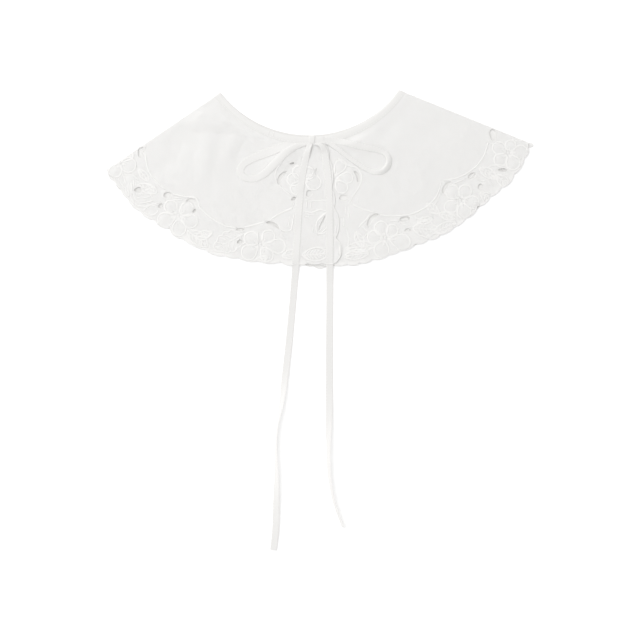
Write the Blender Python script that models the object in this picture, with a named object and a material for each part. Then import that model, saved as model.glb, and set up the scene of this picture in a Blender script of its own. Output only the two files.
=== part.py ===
"""False collar of white cotton, laid flat with its front up and folded at both shoulders.

The cloth is a ring sector cut in one piece. Its back lies on the surface, its two fronts lie on the back
and lap at the centre, the left one on top. A narrow binding edges the neck, and two tapes tie in a bow.
Left and right are the viewer's. Sizes are in millimetres, x to the right and y towards the neck, from
the middle of the collar's base, and MM turns them into metres.
"""

import math

import bmesh
import bpy
import numpy as np
from mathutils import Vector
from mathutils.geometry import delaunay_2d_cdt

MM = 0.001

# Cloth
WALL = 1.0
BINDING_WALL = 1.4
SEAM_GAP = 0.3
LAYER_GAP = 0.35
BINDING_WIDTH = 6.4
GRID = 9.5
GRID_MARGIN = 4.0

# Neck edges, as circles
BACK_NECK = {"centre": (-10.2, 150.0), "radius": 108.3}
FRONT_NECK = {"centre": (-10.3, 143.4), "radius": 103.85}
NECK_STEP_DEG = 3.0
LAP_END_DEG = 8.1

# The shoulder folds run straight from the neck to the hem
FOLD_LEFT = {"neck": (-94.9, 82.1), "hem": (-203.0, 8.9), "inside": 1}
FOLD_RIGHT = {"neck": (75.3, 84.6), "hem": (203.0, 33.0), "inside": -1}
ROLL_WIDTH = 1.2
ROLL_STEP = 1.5
ROLL_ROWS = (0.45, ROLL_WIDTH, ROLL_STEP, 3.2)
ROLL_ROW_SPACING = 7.0
ON_FOLD = 0.05
ON_ROW = 1e-4
TRIANGULATE_WITHIN = 1e-6
SMOOTH_BELOW_DEG = 40.0
BACK_INSET = 1.8

# The hem is scalloped round this centre. Each row is a notch, and the bulge of the scallop after it
HEM_CENTRE = (-6.4, 165.2)
SCALLOP_SEGMENTS = 4
SCALLOP_ROUNDNESS = 0.6
HEM_LEFT = (
    # angle_deg, radius, bulge
    (-51.3, 252.1, 0.5),
    (-48.8, 250.6, 1.5),
    (-46.3, 252.4, 1.5),
    (-43.6, 254.6, 2.1),
    (-40.0, 255.4, 2.2),
    (-36.4, 253.6, 3.0),
    (-32.8, 251.7, 3.3),
    (-29.2, 254.2, 1.6),
    (-23.8, 254.2, 2.2),
    (-19.3, 252.5, 1.2),
    (-16.6, 250.4, 1.7),
    (-12.0, 248.9, 2.0),
    (-7.2, 245.7, 2.2),
    (-3.6, 246.4, 1.3),
    (-1.2, 245.4, 1.4),
    (2.0, 245.3, 1.6),
    (5.2, 245.5, 0.0),
)
HEM_RIGHT = (
    # angle_deg, radius, bulge
    (-2.5, 243.4, 1.8),
    (1.0, 245.5, 1.8),
    (4.2, 247.0, 1.6),
    (7.6, 248.1, 2.0),
    (10.3, 248.8, 1.8),
    (13.2, 247.8, 2.1),
    (16.8, 247.7, 1.3),
    (19.4, 247.4, 1.9),
    (23.2, 246.6, 1.8),
    (26.2, 247.8, 2.0),
    (28.8, 249.4, 1.5),
    (32.4, 249.9, 1.5),
    (35.6, 248.8, 2.6),
    (39.3, 246.6, 2.6),
    (42.7, 247.4, 1.7),
    (45.8, 248.7, 2.9),
    (49.8, 249.4, 2.2),
    (54.1, 247.6, 1.8),
    (56.3, 245.9, 0.0),
)
HEM_RIGHT_END_DEG = 57.5
HEM_RIGHT_END_RADIUS = 242.2

# The front edges, from the hem up on the left front and from the neck down on the right front
EDGE_LEFT = (
    # x, y, bulge
    (15.4, -55.8, 4.0),
    (13.5, -27.0, 2.2),
    (11.2, -9.0, 2.5),
    (9.0, 20.0, 1.0),
)
EDGE_LEFT_FIRST_BULGE = 5.2
EDGE_RIGHT = (
    # x, y, bulge
    (-23.0, 20.0, 2.5),
    (-21.0, -9.0, 2.2),
    (-20.0, -27.0, 4.0),
    (-19.0, -55.8, 4.5),
)
EDGE_RIGHT_FIRST_BULGE = 1.0

# The back's hem follows this radius, in even scallops that show a little past the fronts
BACK_HEM = (
    # angle_deg, radius
    (-50.9, 251.4),
    (-40.0, 253.4),
    (-30.0, 250.2),
    (-20.0, 249.8),
    (-12.0, 246.0),
    (-3.0, 243.6),
    (-1.0, 243.8),
    (0.2, 248.6),
    (2.6, 249.0),
    (5.4, 245.8),
    (10.0, 246.4),
    (20.0, 245.4),
    (30.0, 247.2),
    (45.0, 246.4),
    (56.4, 245.2),
)
BACK_SCALLOPS = 40
BACK_BULGE = 2.0
BACK_CORNER = ((202.4, 30.6), (203.0, 33.0), (198.8, 34.6), (198.5, 32.5))

# Cut holes of the embroidery: a slit with round ends, bent along its length and wider at one end
HOLE_SEGMENTS = 5
SAME_POINT = 0.05
HOLES_LEFT = (
    # x, y, long, wide, turn_deg, bend_deg, taper
    (-169.8, 25.2, 11.0, 6.2, 78, 0, 0.25),
    (-172.9, -10.5, 7.2, 5.2, 0, 0, 0.5),
    (-144.7, -15.3, 7.6, 5.7, 15, 0, 0.0),
    (-151.1, -25.7, 5.2, 4.4, 40, 0, 0.2),
    (-122.1, -20.6, 9.8, 3.6, 0, -85, 0.0),
    (-118.9, -30.7, 4.6, 3.2, 60, 0, 0.0),
    (-75.5, -48.1, 8.4, 3.0, 2, 0, 0.0),
    (-76.2, -59.7, 5.0, 3.8, 20, 0, 0.3),
    (-44.2, -43.2, 15.0, 2.8, -26, -75, 0.0),
    (-36.6, 1.5, 16.0, 3.6, 60, -85, -0.2),
    (-24.9, -18.8, 5.4, 3.0, 35, 0, 0.0),
    (-10.2, -14.0, 6.8, 5.8, 60, 0, 0.2),
    (-3.2, 7.0, 7.0, 3.0, 90, 0, -0.6),
    (-26.2, 14.4, 5.0, 2.2, 10, 0, 0.0),
    (2.3, -42.4, 15.5, 2.8, 66, 12, 0.0),
)
HOLES_RIGHT = (
    # x, y, long, wide, turn_deg, bend_deg, taper
    (23.0, -18.0, 9.2, 5.6, 0, -30, 0.0),
    (35.6, 2.6, 12.5, 3.4, -70, -80, 0.1),
    (49.2, -38.4, 18.0, 3.6, 52, -85, 0.0),
    (80.6, -38.1, 9.8, 4.8, 8, 25, 0.0),
    (83.6, -48.8, 6.6, 3.4, 5, -40, 0.0),
    (119.6, -7.6, 15.0, 3.4, 58, -70, 0.0),
    (144.5, 2.8, 8.2, 5.4, 30, 0, 0.0),
    (152.5, -7.5, 6.0, 4.6, 80, 0, 0.0),
    (173.5, 8.5, 8.8, 3.2, 0, 0, 0.2),
    (164.6, 41.7, 11.9, 6.6, 97, 0, 0.2),
)
HOLES_BACK = (
    # x, y, long, wide, turn_deg, bend_deg, taper
    (-184.0, 2.0, 8.4, 5.0, -60, 0, 0.2),
    (-160.5, -13.0, 7.0, 4.6, -40, 0, 0.0),
    (-136.0, -36.0, 9.0, 4.2, -30, -60, 0.0),
    (-137.0, -4.0, 11.0, 3.6, -20, 60, 0.0),
    (-108.0, -51.0, 7.0, 4.8, -20, 0, 0.2),
    (-100.0, -37.0, 12.0, 3.4, -20, 70, 0.0),
    (-88.0, -64.0, 6.0, 4.0, -15, 0, 0.0),
    (-60.0, -52.0, 10.0, 3.8, -10, -70, 0.0),
    (-52.0, -68.0, 6.2, 4.4, 0, 0, 0.2),
    (-20.0, -58.0, 8.0, 5.0, 0, 0, 0.0),
    (22.0, -56.0, 11.0, 3.6, 5, 70, 0.0),
    (42.0, -66.0, 6.4, 4.4, 10, 0, 0.0),
    (66.0, -52.0, 8.0, 4.6, 15, 0, 0.2),
    (98.0, -46.0, 10.0, 3.8, 30, -70, 0.0),
    (122.4, -17.4, 7.4, 5.2, 35, 0, 0.0),
    (131.0, -34.0, 6.0, 4.2, 40, 0, 0.0),
    (160.0, -14.0, 9.0, 4.4, 45, 60, 0.0),
    (178.0, 10.8, 6.4, 4.6, 55, 0, 0.0),
    (185.0, 24.0, 6.0, 4.2, 70, 0, 0.2),
)

# Soft folds and crowns that lift each front off the back
FOLDS_LEFT = (
    # x, y, along, across, turn_deg, rise
    (-112.0, -2.0, 58.0, 32.0, -35, 1.0),
    (-113.8, 20.0, 26.0, 8.5, 82, 1.4),
    (-96.0, 45.5, 36.0, 7.0, -5, -1.0),
    (-139.0, 30.0, 16.0, 8.0, 70, -0.9),
    (-150.0, 44.0, 20.0, 7.0, 35, 0.9),
    (-66.0, 27.5, 18.0, 9.0, 30, -0.8),
    (-84.0, 30.0, 16.0, 8.0, 60, 0.9),
    (-82.0, -62.0, 22.0, 10.0, -15, 0.4),
    (-154.0, -26.0, 18.0, 9.0, -40, 0.3),
    (-42.0, -20.0, 22.0, 14.0, -70, 0.3),
)
FOLDS_RIGHT = (
    # x, y, along, across, turn_deg, rise
    (106.0, 12.0, 58.0, 30.0, 28, 0.8),
    (103.0, 64.0, 20.0, 7.0, -22, 0.9),
    (72.0, 30.0, 30.0, 12.0, 55, 0.5),
    (86.0, -56.0, 22.0, 10.0, 15, 0.4),
    (154.0, -12.0, 18.0, 9.0, 42, 0.3),
    (36.0, -72.0, 16.0, 10.0, 5, 0.3),
)
FOLD_CALM = 26.0
NECK_CALM = 14.0
LAP_RAMP = (-56.0, -27.0)
NECK_RISE = 0.55

# The knot of the bow, a flattened roll with the tape wrapped over its middle
KNOT_CENTRE = (-7.2, 37.1)
KNOT_SIZE = (6.6, 7.4, 3.6)
KNOT_WRAP_SIZE = (4.8, 8.4, 4.3)
KNOT_BEVEL = 1.5
KNOT_BEVEL_SHARE = 0.45
KNOT_LIFT = 0.3

# The tapes, from end to end. A positive lean lifts the edge on the left of the way they run
TAPE_WALL = 1.0
TAPE_STEP = 3.0
TAIL_STEP = 8.0
CURVE_STEPS = 8
TAPE_CLEARANCE = 0.45
HEM_DROP = (243.0, 266.0)
LEFT_FRONT_END_X = 20.0
FLOOR_CLEARANCE = 0.1
LOOP_LEFT = (
    # x, y, lift, lean_deg, width
    (-11.0, 37.6, 2.3, 0, 5.0),
    (-16.0, 37.0, 2.4, 0, 5.4),
    (-24.0, 35.4, 2.4, 0, 6.4),
    (-34.0, 32.0, 2.0, 0, 7.2),
    (-46.0, 26.4, 0.9, 0, 7.6),
    (-57.5, 21.4, 0.3, 0, 7.8),
    (-67.0, 17.0, 0.1, -3, 7.6),
    (-73.4, 12.6, 0.1, -6, 7.2),
    (-75.4, 7.6, 0.1, -8, 7.0),
    (-73.4, 2.6, 0.1, -6, 6.8),
    (-68.0, -0.2, 0.1, -2, 6.8),
    (-61.0, 0.2, 0.1, 2, 7.0),
    (-54.5, 3.0, 0.1, 4, 7.4),
    (-48.4, 8.4, 0.1, 6, 7.6),
    (-42.6, 14.2, 0.1, 8, 7.6),
    (-37.4, 19.8, 0.1, 7, 7.4),
    (-31.0, 25.4, 0.1, 4, 6.8),
    (-23.0, 30.4, 0.5, 0, 6.0),
    (-11.0, 34.9, 1.0, 0, 4.8),
)
LOOP_RIGHT = (
    # x, y, lift, lean_deg, width
    (-3.4, 36.6, 2.4, 0, 5.0),
    (1.5, 36.4, 2.5, -10, 5.6),
    (8.0, 34.4, 2.3, -25, 6.0),
    (15.4, 29.8, 1.4, -42, 6.4),
    (25.5, 21.9, 0.5, -54, 6.4),
    (35.5, 14.9, 0.2, -58, 6.4),
    (44.9, 9.2, 0.1, -60, 6.2),
    (52.0, 6.9, 0.1, -60, 6.0),
    (58.0, 8.8, 0.1, -62, 5.6),
    (62.3, 13.2, 0.1, -64, 5.2),
    (64.0, 18.9, 0.1, -64, 5.0),
    (62.6, 24.0, 0.1, -58, 5.2),
    (57.4, 26.9, 0.1, -56, 6.0),
    (48.7, 28.9, 0.1, -54, 6.4),
    (38.2, 31.8, 0.1, -50, 6.6),
    (26.8, 34.7, 0.1, -40, 6.6),
    (15.4, 36.8, 0.2, -22, 6.2),
    (6.0, 37.8, 0.7, -6, 5.6),
    (-3.4, 38.4, 1.0, 0, 5.0),
)
TAIL_LEFT = (
    # x, y, lift, lean_deg, width
    (-9.9, 31.2, 0.0, 0, 4.6),
    (-12.2, 24.4, 0.0, 0, 6.0),
    (-13.9, 17.0, 0.0, 0, 6.8),
    (-16.5, 3.7, 0.0, 0, 6.8),
    (-18.7, -15.0, 0.0, 0, 6.7),
    (-20.4, -39.0, 0.0, 0, 6.7),
    (-22.0, -66.0, 0.0, 0, 6.7),
    (-23.8, -95.1, 0.0, 0, 6.7),
    (-26.6, -128.3, 0.0, 0, 6.7),
    (-29.7, -159.7, 0.0, 5, 6.7),
    (-33.0, -188.2, 0.0, 14, 6.7),
    (-36.3, -212.9, 0.0, 48, 6.5),
    (-40.6, -234.3, 0.0, 66, 6.4),
    (-41.8, -253.7, 0.0, 68, 6.4),
    (-41.1, -277.5, 0.0, 52, 6.5),
    (-41.3, -307.0, 0.0, 24, 6.7),
    (-42.0, -333.6, 0.0, 10, 6.7),
    (-44.0, -352.8, 0.0, 6, 6.5),
)
TAIL_RIGHT = (
    # x, y, lift, lean_deg, width
    (-2.4, 32.4, 0.0, 0, 4.8),
    (2.2, 30.6, 0.0, 0, 5.6),
    (4.9, 24.0, 0.0, 0, 6.6),
    (5.7, 17.0, 0.0, 0, 6.8),
    (7.0, 9.5, 0.0, 0, 6.8),
    (8.6, -10.5, 0.0, 0, 6.8),
    (9.4, -45.0, 0.0, 0, 6.8),
    (9.5, -79.0, 0.0, 0, 6.8),
    (9.5, -118.0, 0.0, 0, 6.8),
    (9.2, -160.0, 0.0, 0, 6.8),
    (9.1, -200.0, 0.0, 4, 6.8),
    (8.9, -229.0, 0.0, 20, 6.7),
    (8.3, -250.0, 0.0, 46, 6.6),
    (8.5, -271.0, 0.0, 56, 6.5),
    (10.3, -290.0, 0.0, 62, 6.5),
    (13.2, -305.0, 0.0, 66, 6.5),
    (18.0, -319.3, 0.0, 66, 6.5),
    (22.4, -330.7, 0.0, 64, 6.5),
)

COTTON = {"colour": (0.87, 0.87, 0.85, 1.0), "roughness": 0.9}
BINDING = {"colour": (0.89, 0.89, 0.87, 1.0), "roughness": 0.85}
TAPE = {"colour": (0.9, 0.9, 0.88, 1.0), "roughness": 0.8}


def clear_scene():
    for obj in list(bpy.data.objects):
        bpy.data.objects.remove(obj)


def material(name, finish):
    """A Principled material with the finish's colour and roughness, and no metal."""
    made = bpy.data.materials.new(name)
    made.use_nodes = True
    shader = made.node_tree.nodes["Principled BSDF"]
    shader.inputs["Base Color"].default_value = finish["colour"]
    shader.inputs["Roughness"].default_value = finish["roughness"]
    shader.inputs["Metallic"].default_value = 0.0
    return made


def soft_step(value, low, high):
    """0 below low, 1 above high, and a smooth rise between them."""
    share = min(1.0, max(0.0, (value - low) / (high - low)))
    return share * share * (3.0 - 2.0 * share)


def on_circle(centre, radius, angle_deg):
    """A point of a circle, its angle counted from straight down and positive to the right."""
    angle = math.radians(angle_deg)
    return (centre[0] + radius * math.sin(angle), centre[1] - radius * math.cos(angle))


def angle_on(centre, point):
    return math.degrees(math.atan2(point[0] - centre[0], centre[1] - point[1]))


def arc(centre, radius, start_deg, end_deg, step_deg=NECK_STEP_DEG):
    """Points of an arc, both ends included."""
    count = max(1, round(abs(end_deg - start_deg) / step_deg))
    angles = np.linspace(start_deg, end_deg, count + 1)
    return [on_circle(centre, radius, angle) for angle in angles]


def scalloped(rows):
    """Points through notches (x, y, bulge), with a round lobe that bulges to the right after each one."""
    points = []
    for (x, y, bulge), (next_x, next_y, _) in zip(rows, rows[1:]):
        chord = Vector((next_x - x, next_y - y))
        outward = Vector((chord.y, -chord.x)).normalized()
        for step in range(SCALLOP_SEGMENTS):
            share = step / SCALLOP_SEGMENTS
            lobe = bulge * math.sin(math.pi * share) ** SCALLOP_ROUNDNESS
            point = Vector((x, y)) + chord * share + outward * lobe
            points.append((point.x, point.y))
    points.append(rows[-1][:2])
    return points


def hem_rows(table):
    """Hem notches given by angle and radius, as (x, y, bulge)."""
    return [(*on_circle(HEM_CENTRE, radius, angle), bulge) for angle, radius, bulge in table]


def fold_depth(fold, x, y):
    """How far a point lies inside a shoulder fold."""
    ax, ay = fold["neck"]
    bx, by = fold["hem"]
    run = math.hypot(bx - ax, by - ay)
    return fold["inside"] * ((bx - ax) * (y - ay) - (by - ay) * (x - ax)) / run


def fold_crossing(fold, inset, circle, extra):
    """Where the line at that inset inside a fold crosses a circle widened by extra."""
    neck = Vector(fold["neck"])
    along = (Vector(fold["hem"]) - neck).normalized()
    start = neck + inset * fold["inside"] * Vector((-along.y, along.x))
    offset = start - Vector(circle["centre"])
    middle = -offset.dot(along)
    closest = offset + along * middle
    reach = math.sqrt((circle["radius"] + extra) ** 2 - closest.length_squared)
    point = start + along * (middle + reach)
    return (point.x, point.y)


def neck_depth(circle, x, y):
    """How far a point lies outside a neck circle."""
    cx, cy = circle["centre"]
    return math.hypot(x - cx, y - cy) - circle["radius"]


def lifted(folds, fold, x, y):
    """How far the soft folds lift a front, calmed along its shoulder fold and its neck."""
    total = 0.0
    for cx, cy, along, across, turn_deg, rise in folds:
        turn = math.radians(turn_deg)
        u = (x - cx) * math.cos(turn) + (y - cy) * math.sin(turn)
        v = (y - cy) * math.cos(turn) - (x - cx) * math.sin(turn)
        total += rise * math.exp(-((u / along) ** 2) - (v / across) ** 2)
    calm = soft_step(fold_depth(fold, x, y), 0.0, FOLD_CALM)
    calm *= soft_step(neck_depth(FRONT_NECK, x, y), BINDING_WIDTH, BINDING_WIDTH + NECK_CALM)
    return max(0.0, total) * calm


def neck_rise(x, y):
    """The fronts lie a little higher at the neck, on the back's binding."""
    depth = neck_depth(FRONT_NECK, x, y)
    return NECK_RISE * (1.0 - soft_step(depth, BINDING_WIDTH, BINDING_WIDTH + NECK_CALM))


def right_under(x, y):
    """Height of the right front's underside where it lies on the back."""
    return WALL + LAYER_GAP + neck_rise(x, y) + lifted(FOLDS_RIGHT, FOLD_RIGHT, x, y)


def binding_extra(x, y):
    """The binding is thicker than the cloth."""
    near = neck_depth(FRONT_NECK, x, y) < BINDING_WIDTH + SEAM_GAP / 2
    return BINDING_WALL - WALL if near else 0.0


def left_under(x, y):
    """Height of the left front's underside: on the back, and at the centre on the right front."""
    alone = WALL + LAYER_GAP + neck_rise(x, y) + lifted(FOLDS_LEFT, FOLD_LEFT, x, y)
    lapped = right_under(x, y) + WALL + LAYER_GAP + binding_extra(x, y)
    share = soft_step(x, *LAP_RAMP)
    return alone * (1.0 - share) + lapped * share


def rolled(under, fold, wall):
    """Underside and top of a front that turns down to the surface along its fold."""

    def heights(x, y):
        depth = fold_depth(fold, x, y)
        low = under(x, y)
        top = low + wall
        if depth < top / 2:
            drop = top / 2 - max(0.0, depth)
            top = top / 2 + math.sqrt(max(0.0, (top / 2) ** 2 - drop * drop))
        if depth < (ROLL_WIDTH + ROLL_STEP) / 2:
            low = 0.0
        return low, top

    return heights


def flat(wall):
    return lambda x, y: (0.0, wall)


def hole_outline(row):
    """A slit with round ends, as an outline: its middle line bends evenly from end to end."""
    x, y, long, wide, turn_deg, bend_deg, taper = row
    turn = math.radians(turn_deg)
    bend = math.radians(bend_deg)
    ends = math.pi / 2
    sides = []
    for side in (1, -1):
        for step in range(HOLE_SEGMENTS + 1):
            place = math.sin(ends * (2 * step / HOLE_SEGMENTS - 1)) * side
            half = wide / 2 * math.sqrt(max(0.0, 1 - place * place)) * (1 + taper * place)
            if bend:
                radius = long / bend
                angle = bend * place / 2
                u = (radius - side * half) * math.sin(angle)
                v = radius - (radius - side * half) * math.cos(angle)
                v -= radius * (1 - math.cos(bend / 4))
            else:
                u = place * long / 2
                v = side * half
            sides.append((u, v))
    points = []
    for u, v in sides:
        px = x + u * math.cos(turn) - v * math.sin(turn)
        py = y + u * math.sin(turn) + v * math.cos(turn)
        if not points or math.dist(points[-1], (px, py)) > SAME_POINT:
            points.append((px, py))
    if math.dist(points[0], points[-1]) < SAME_POINT:
        points.pop()
    return points


def inside(polygon, points):
    """Which of the points lie inside a polygon."""
    x, y = points[:, 0], points[:, 1]
    found = np.zeros(len(points), bool)
    for (ax, ay), (bx, by) in zip(polygon, polygon[1:] + polygon[:1]):
        crosses = (ay > y) != (by > y)
        if ay != by:
            found ^= crosses & (x < ax + (y - ay) * (bx - ax) / (by - ay))
    return found


def clear_of(polygon, points, margin):
    """Which of the points lie at least that far from a polygon's edge."""
    kept = np.ones(len(points), bool)
    for a, b in zip(polygon, polygon[1:] + polygon[:1]):
        a, b = np.array(a), np.array(b)
        run = b - a
        share = np.clip(((points - a) @ run) / max(run @ run, 1e-9), 0, 1)
        kept &= np.linalg.norm(points - a - share[:, None] * run, axis=1) > margin
    return kept


def grid_points(outline, holes):
    """A staggered grid of inner points, kept off the outline and the holes."""
    low, high = np.min(outline, axis=0), np.max(outline, axis=0)
    points = []
    row_height = GRID * math.sqrt(3) / 2
    for row in range(int((high[1] - low[1]) / row_height) + 1):
        shift = GRID / 2 if row % 2 else 0.0
        for column in range(int((high[0] - low[0]) / GRID) + 1):
            points.append((low[0] + shift + column * GRID, low[1] + row * row_height))
    points = np.array(points)
    kept = inside(outline, points) & clear_of(outline, points, GRID_MARGIN)
    for hole in holes:
        kept &= ~inside(hole, points) & clear_of(hole, points, GRID_MARGIN / 2)
    return [tuple(point) for point in points[kept]]


def with_roll(outline, fold):
    """The outline with its fold edge cut into steps, and with a point where it crosses each roll row."""
    points = []
    for a, b in zip(outline, outline[1:] + outline[:1]):
        a, b = Vector(a), Vector(b)
        start, end = fold_depth(fold, *a), fold_depth(fold, *b)
        shares = []
        if abs(start) < ON_FOLD and abs(end) < ON_FOLD:
            steps = max(1, round((b - a).length / ROLL_ROW_SPACING))
            shares = [step / steps for step in range(1, steps)]
        else:
            for depth in ROLL_ROWS:
                if (start - depth) * (end - depth) < 0:
                    shares.append((depth - start) / (end - start))
        points.append(tuple(a))
        points.extend(tuple(a.lerp(b, share)) for share in sorted(shares))
    return points


def roll_rows(fold, outline):
    """Lines just inside a fold, from edge to edge of the outline, where the wall turns over."""
    neck = Vector(fold["neck"])
    along = (Vector(fold["hem"]) - neck).normalized()
    rows = []
    for depth in ROLL_ROWS:
        ends = [Vector(p) for p in outline if abs(fold_depth(fold, *p) - depth) < ON_ROW]
        ends.sort(key=lambda p: (p - neck).dot(along))
        for a, b in zip(ends[::2], ends[1::2]):
            steps = max(1, round((b - a).length / ROLL_ROW_SPACING))
            rows.append([tuple(a.lerp(b, step / steps)) for step in range(steps + 1)])
    return rows


def cloth_wall(name, outline, holes, heights, finish, inner=(), rows=()):
    """A closed wall of cloth over an outline with holes. heights gives its underside and top at a point.
    inner are loose points of its faces, and rows are lines that its faces keep to."""
    points, edges = list(inner), []
    for line in rows:
        first = len(points)
        points.extend(line)
        edges.extend((first + i, first + i + 1) for i in range(len(line) - 1))
    for loop in (outline, *holes):
        first = len(points)
        points.extend(loop)
        edges.extend((first + i, first + (i + 1) % len(loop)) for i in range(len(loop)))
    flat_points, _, faces, *_ = delaunay_2d_cdt([Vector(p) for p in points], edges, [], 0, TRIANGULATE_WITHIN)
    centres = np.array([np.mean([flat_points[i] for i in face], axis=0) for face in faces])
    kept = inside(outline, centres)
    for hole in holes:
        kept &= ~inside(hole, centres)
    mesh = bmesh.new()
    low_high = [heights(p.x, p.y) for p in flat_points]
    verts = [mesh.verts.new((p.x * MM, p.y * MM, low * MM)) for p, (low, _) in zip(flat_points, low_high)]
    top_of = {vert: high for vert, (_, high) in zip(verts, low_high)}
    for face, keep in zip(faces, kept):
        if keep:
            mesh.faces.new([verts[i] for i in reversed(face)])
    loose = [vert for vert in mesh.verts if not vert.link_faces]
    bmesh.ops.delete(mesh, geom=loose, context="VERTS")
    tops = {}
    for vert in mesh.verts:
        tops[(round(vert.co.x, 7), round(vert.co.y, 7))] = top_of[vert]
    raised = bmesh.ops.extrude_face_region(mesh, geom=mesh.faces[:])
    for vert in raised["geom"]:
        if isinstance(vert, bmesh.types.BMVert):
            vert.co.z = tops[(round(vert.co.x, 7), round(vert.co.y, 7))] * MM
    return finished(name, mesh, finish)


def finished(name, mesh, finish):
    """Turns a closed bmesh into a named object, shaded smooth but for its sharp edges."""
    bmesh.ops.recalc_face_normals(mesh, faces=mesh.faces[:])
    data = bpy.data.meshes.new(name)
    mesh.to_mesh(data)
    mesh.free()
    data.shade_smooth()
    data.set_sharp_from_angle(angle=math.radians(SMOOTH_BELOW_DEG))
    data.materials.append(finish)
    obj = bpy.data.objects.new(name, data)
    bpy.context.scene.collection.objects.link(obj)
    return obj


def front_left_outline():
    top = on_circle(FRONT_NECK["centre"], FRONT_NECK["radius"] + BINDING_WIDTH + SEAM_GAP, LAP_END_DEG)
    start = fold_crossing(FOLD_LEFT, 0.0, FRONT_NECK, BINDING_WIDTH + SEAM_GAP)
    hem = hem_rows(HEM_LEFT)
    hem[0] = (*FOLD_LEFT["hem"], hem[0][2])
    hem[-1] = (*hem[-1][:2], EDGE_LEFT_FIRST_BULGE)
    edge = scalloped([*hem, *EDGE_LEFT, (*top, 0.0)])
    start_deg = angle_on(FRONT_NECK["centre"], start)
    radius = FRONT_NECK["radius"] + BINDING_WIDTH + SEAM_GAP
    neck = arc(FRONT_NECK["centre"], radius, LAP_END_DEG, start_deg)
    return [start, *edge, *neck[1:-1]]


def front_right_outline():
    top = on_circle(FRONT_NECK["centre"], FRONT_NECK["radius"] + BINDING_WIDTH + SEAM_GAP, -LAP_END_DEG)
    start = fold_crossing(FOLD_RIGHT, 0.0, FRONT_NECK, BINDING_WIDTH + SEAM_GAP)
    hem = hem_rows(HEM_RIGHT)
    tip = on_circle(HEM_CENTRE, HEM_RIGHT_END_RADIUS, HEM_RIGHT_END_DEG)
    edge = scalloped([(*top, EDGE_RIGHT_FIRST_BULGE), *EDGE_RIGHT, *hem])
    start_deg = angle_on(FRONT_NECK["centre"], start)
    radius = FRONT_NECK["radius"] + BINDING_WIDTH + SEAM_GAP
    neck = arc(FRONT_NECK["centre"], radius, start_deg, -LAP_END_DEG)
    return [*edge, tip, *neck[:-1]]


def back_outline():
    left = fold_crossing(FOLD_LEFT, BACK_INSET, BACK_NECK, BINDING_WIDTH + SEAM_GAP)
    right = fold_crossing(FOLD_RIGHT, BACK_INSET, BACK_NECK, BINDING_WIDTH + SEAM_GAP)
    angles, radii = zip(*BACK_HEM)
    rows = []
    for notch in np.linspace(angles[0], angles[-1], BACK_SCALLOPS + 1):
        radius = float(np.interp(notch, angles, radii))
        rows.append((*on_circle(HEM_CENTRE, radius, notch), BACK_BULGE))
    neck_radius = BACK_NECK["radius"] + BINDING_WIDTH + SEAM_GAP
    right_deg = angle_on(BACK_NECK["centre"], right)
    left_deg = angle_on(BACK_NECK["centre"], left)
    neck = arc(BACK_NECK["centre"], neck_radius, right_deg, left_deg)
    return [*scalloped(rows), *BACK_CORNER, *neck]


def binding_outline(circle, start, end):
    """A band of the binding's width along a neck circle, between two points of its outer edge.
    Each is (point on the neck edge, point on the inner edge)."""
    centre, radius = circle["centre"], circle["radius"]
    outer = arc(centre, radius, angle_on(centre, end[0]), angle_on(centre, start[0]))
    inner = arc(centre, radius + BINDING_WIDTH, angle_on(centre, start[1]), angle_on(centre, end[1]))
    return [*inner, *outer]


def fold_ends(fold, inset, circle):
    return (
        fold_crossing(fold, inset, circle, 0.0),
        fold_crossing(fold, inset, circle, BINDING_WIDTH),
    )


def lap_ends(angle_deg):
    centre, radius = FRONT_NECK["centre"], FRONT_NECK["radius"]
    return (
        on_circle(centre, radius, angle_deg),
        on_circle(centre, radius + BINDING_WIDTH, angle_deg),
    )


def build_body(cotton):
    left, right = front_left_outline(), front_right_outline()
    holes = {
        "left": [hole_outline(row) for row in HOLES_LEFT],
        "right": [hole_outline(row) for row in HOLES_RIGHT],
        "back": [hole_outline(row) for row in HOLES_BACK],
    }
    cloth_wall("back_panel", back_outline(), holes["back"], flat(WALL), cotton)
    for side, outline, fold, under in (
        ("right", right, FOLD_RIGHT, right_under),
        ("left", left, FOLD_LEFT, left_under),
    ):
        outline = with_roll(outline, fold)
        cloth_wall(
            f"front_{side}_panel",
            outline,
            holes[side],
            rolled(under, fold, WALL),
            cotton,
            grid_points(outline, holes[side]),
            roll_rows(fold, outline),
        )


def build_binding(finish):
    back = binding_outline(
        BACK_NECK,
        fold_ends(FOLD_LEFT, BACK_INSET, BACK_NECK),
        fold_ends(FOLD_RIGHT, BACK_INSET, BACK_NECK),
    )
    cloth_wall("neck_binding_back", back, [], flat(BINDING_WALL), finish)
    right = binding_outline(FRONT_NECK, lap_ends(-LAP_END_DEG), fold_ends(FOLD_RIGHT, 0.0, FRONT_NECK))
    left = binding_outline(FRONT_NECK, fold_ends(FOLD_LEFT, 0.0, FRONT_NECK), lap_ends(LAP_END_DEG))
    for name, outline, fold, under in (
        ("neck_binding_right", right, FOLD_RIGHT, right_under),
        ("neck_binding_left", left, FOLD_LEFT, left_under),
    ):
        outline = with_roll(outline, fold)
        rows = roll_rows(fold, outline)
        cloth_wall(name, outline, [], rolled(under, fold, BINDING_WALL), finish, rows=rows)


def surface(x, y):
    """Top of what a tape lies on: the collar's front, and past the hem the surface under it."""
    under = left_under if x < LEFT_FRONT_END_X else right_under
    top = under(x, y) + WALL + binding_extra(x, y)
    from_hem = math.hypot(x - HEM_CENTRE[0], y - HEM_CENTRE[1])
    return top * (1.0 - soft_step(from_hem, *HEM_DROP))


def resting(x, y, width):
    """The highest surface under a tape of that width."""
    reach = width / 2
    around = [(0.0, 0.0), (reach, 0.0), (-reach, 0.0), (0.0, reach), (0.0, -reach)]
    return max(surface(x + dx, y + dy) for dx, dy in around)


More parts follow.
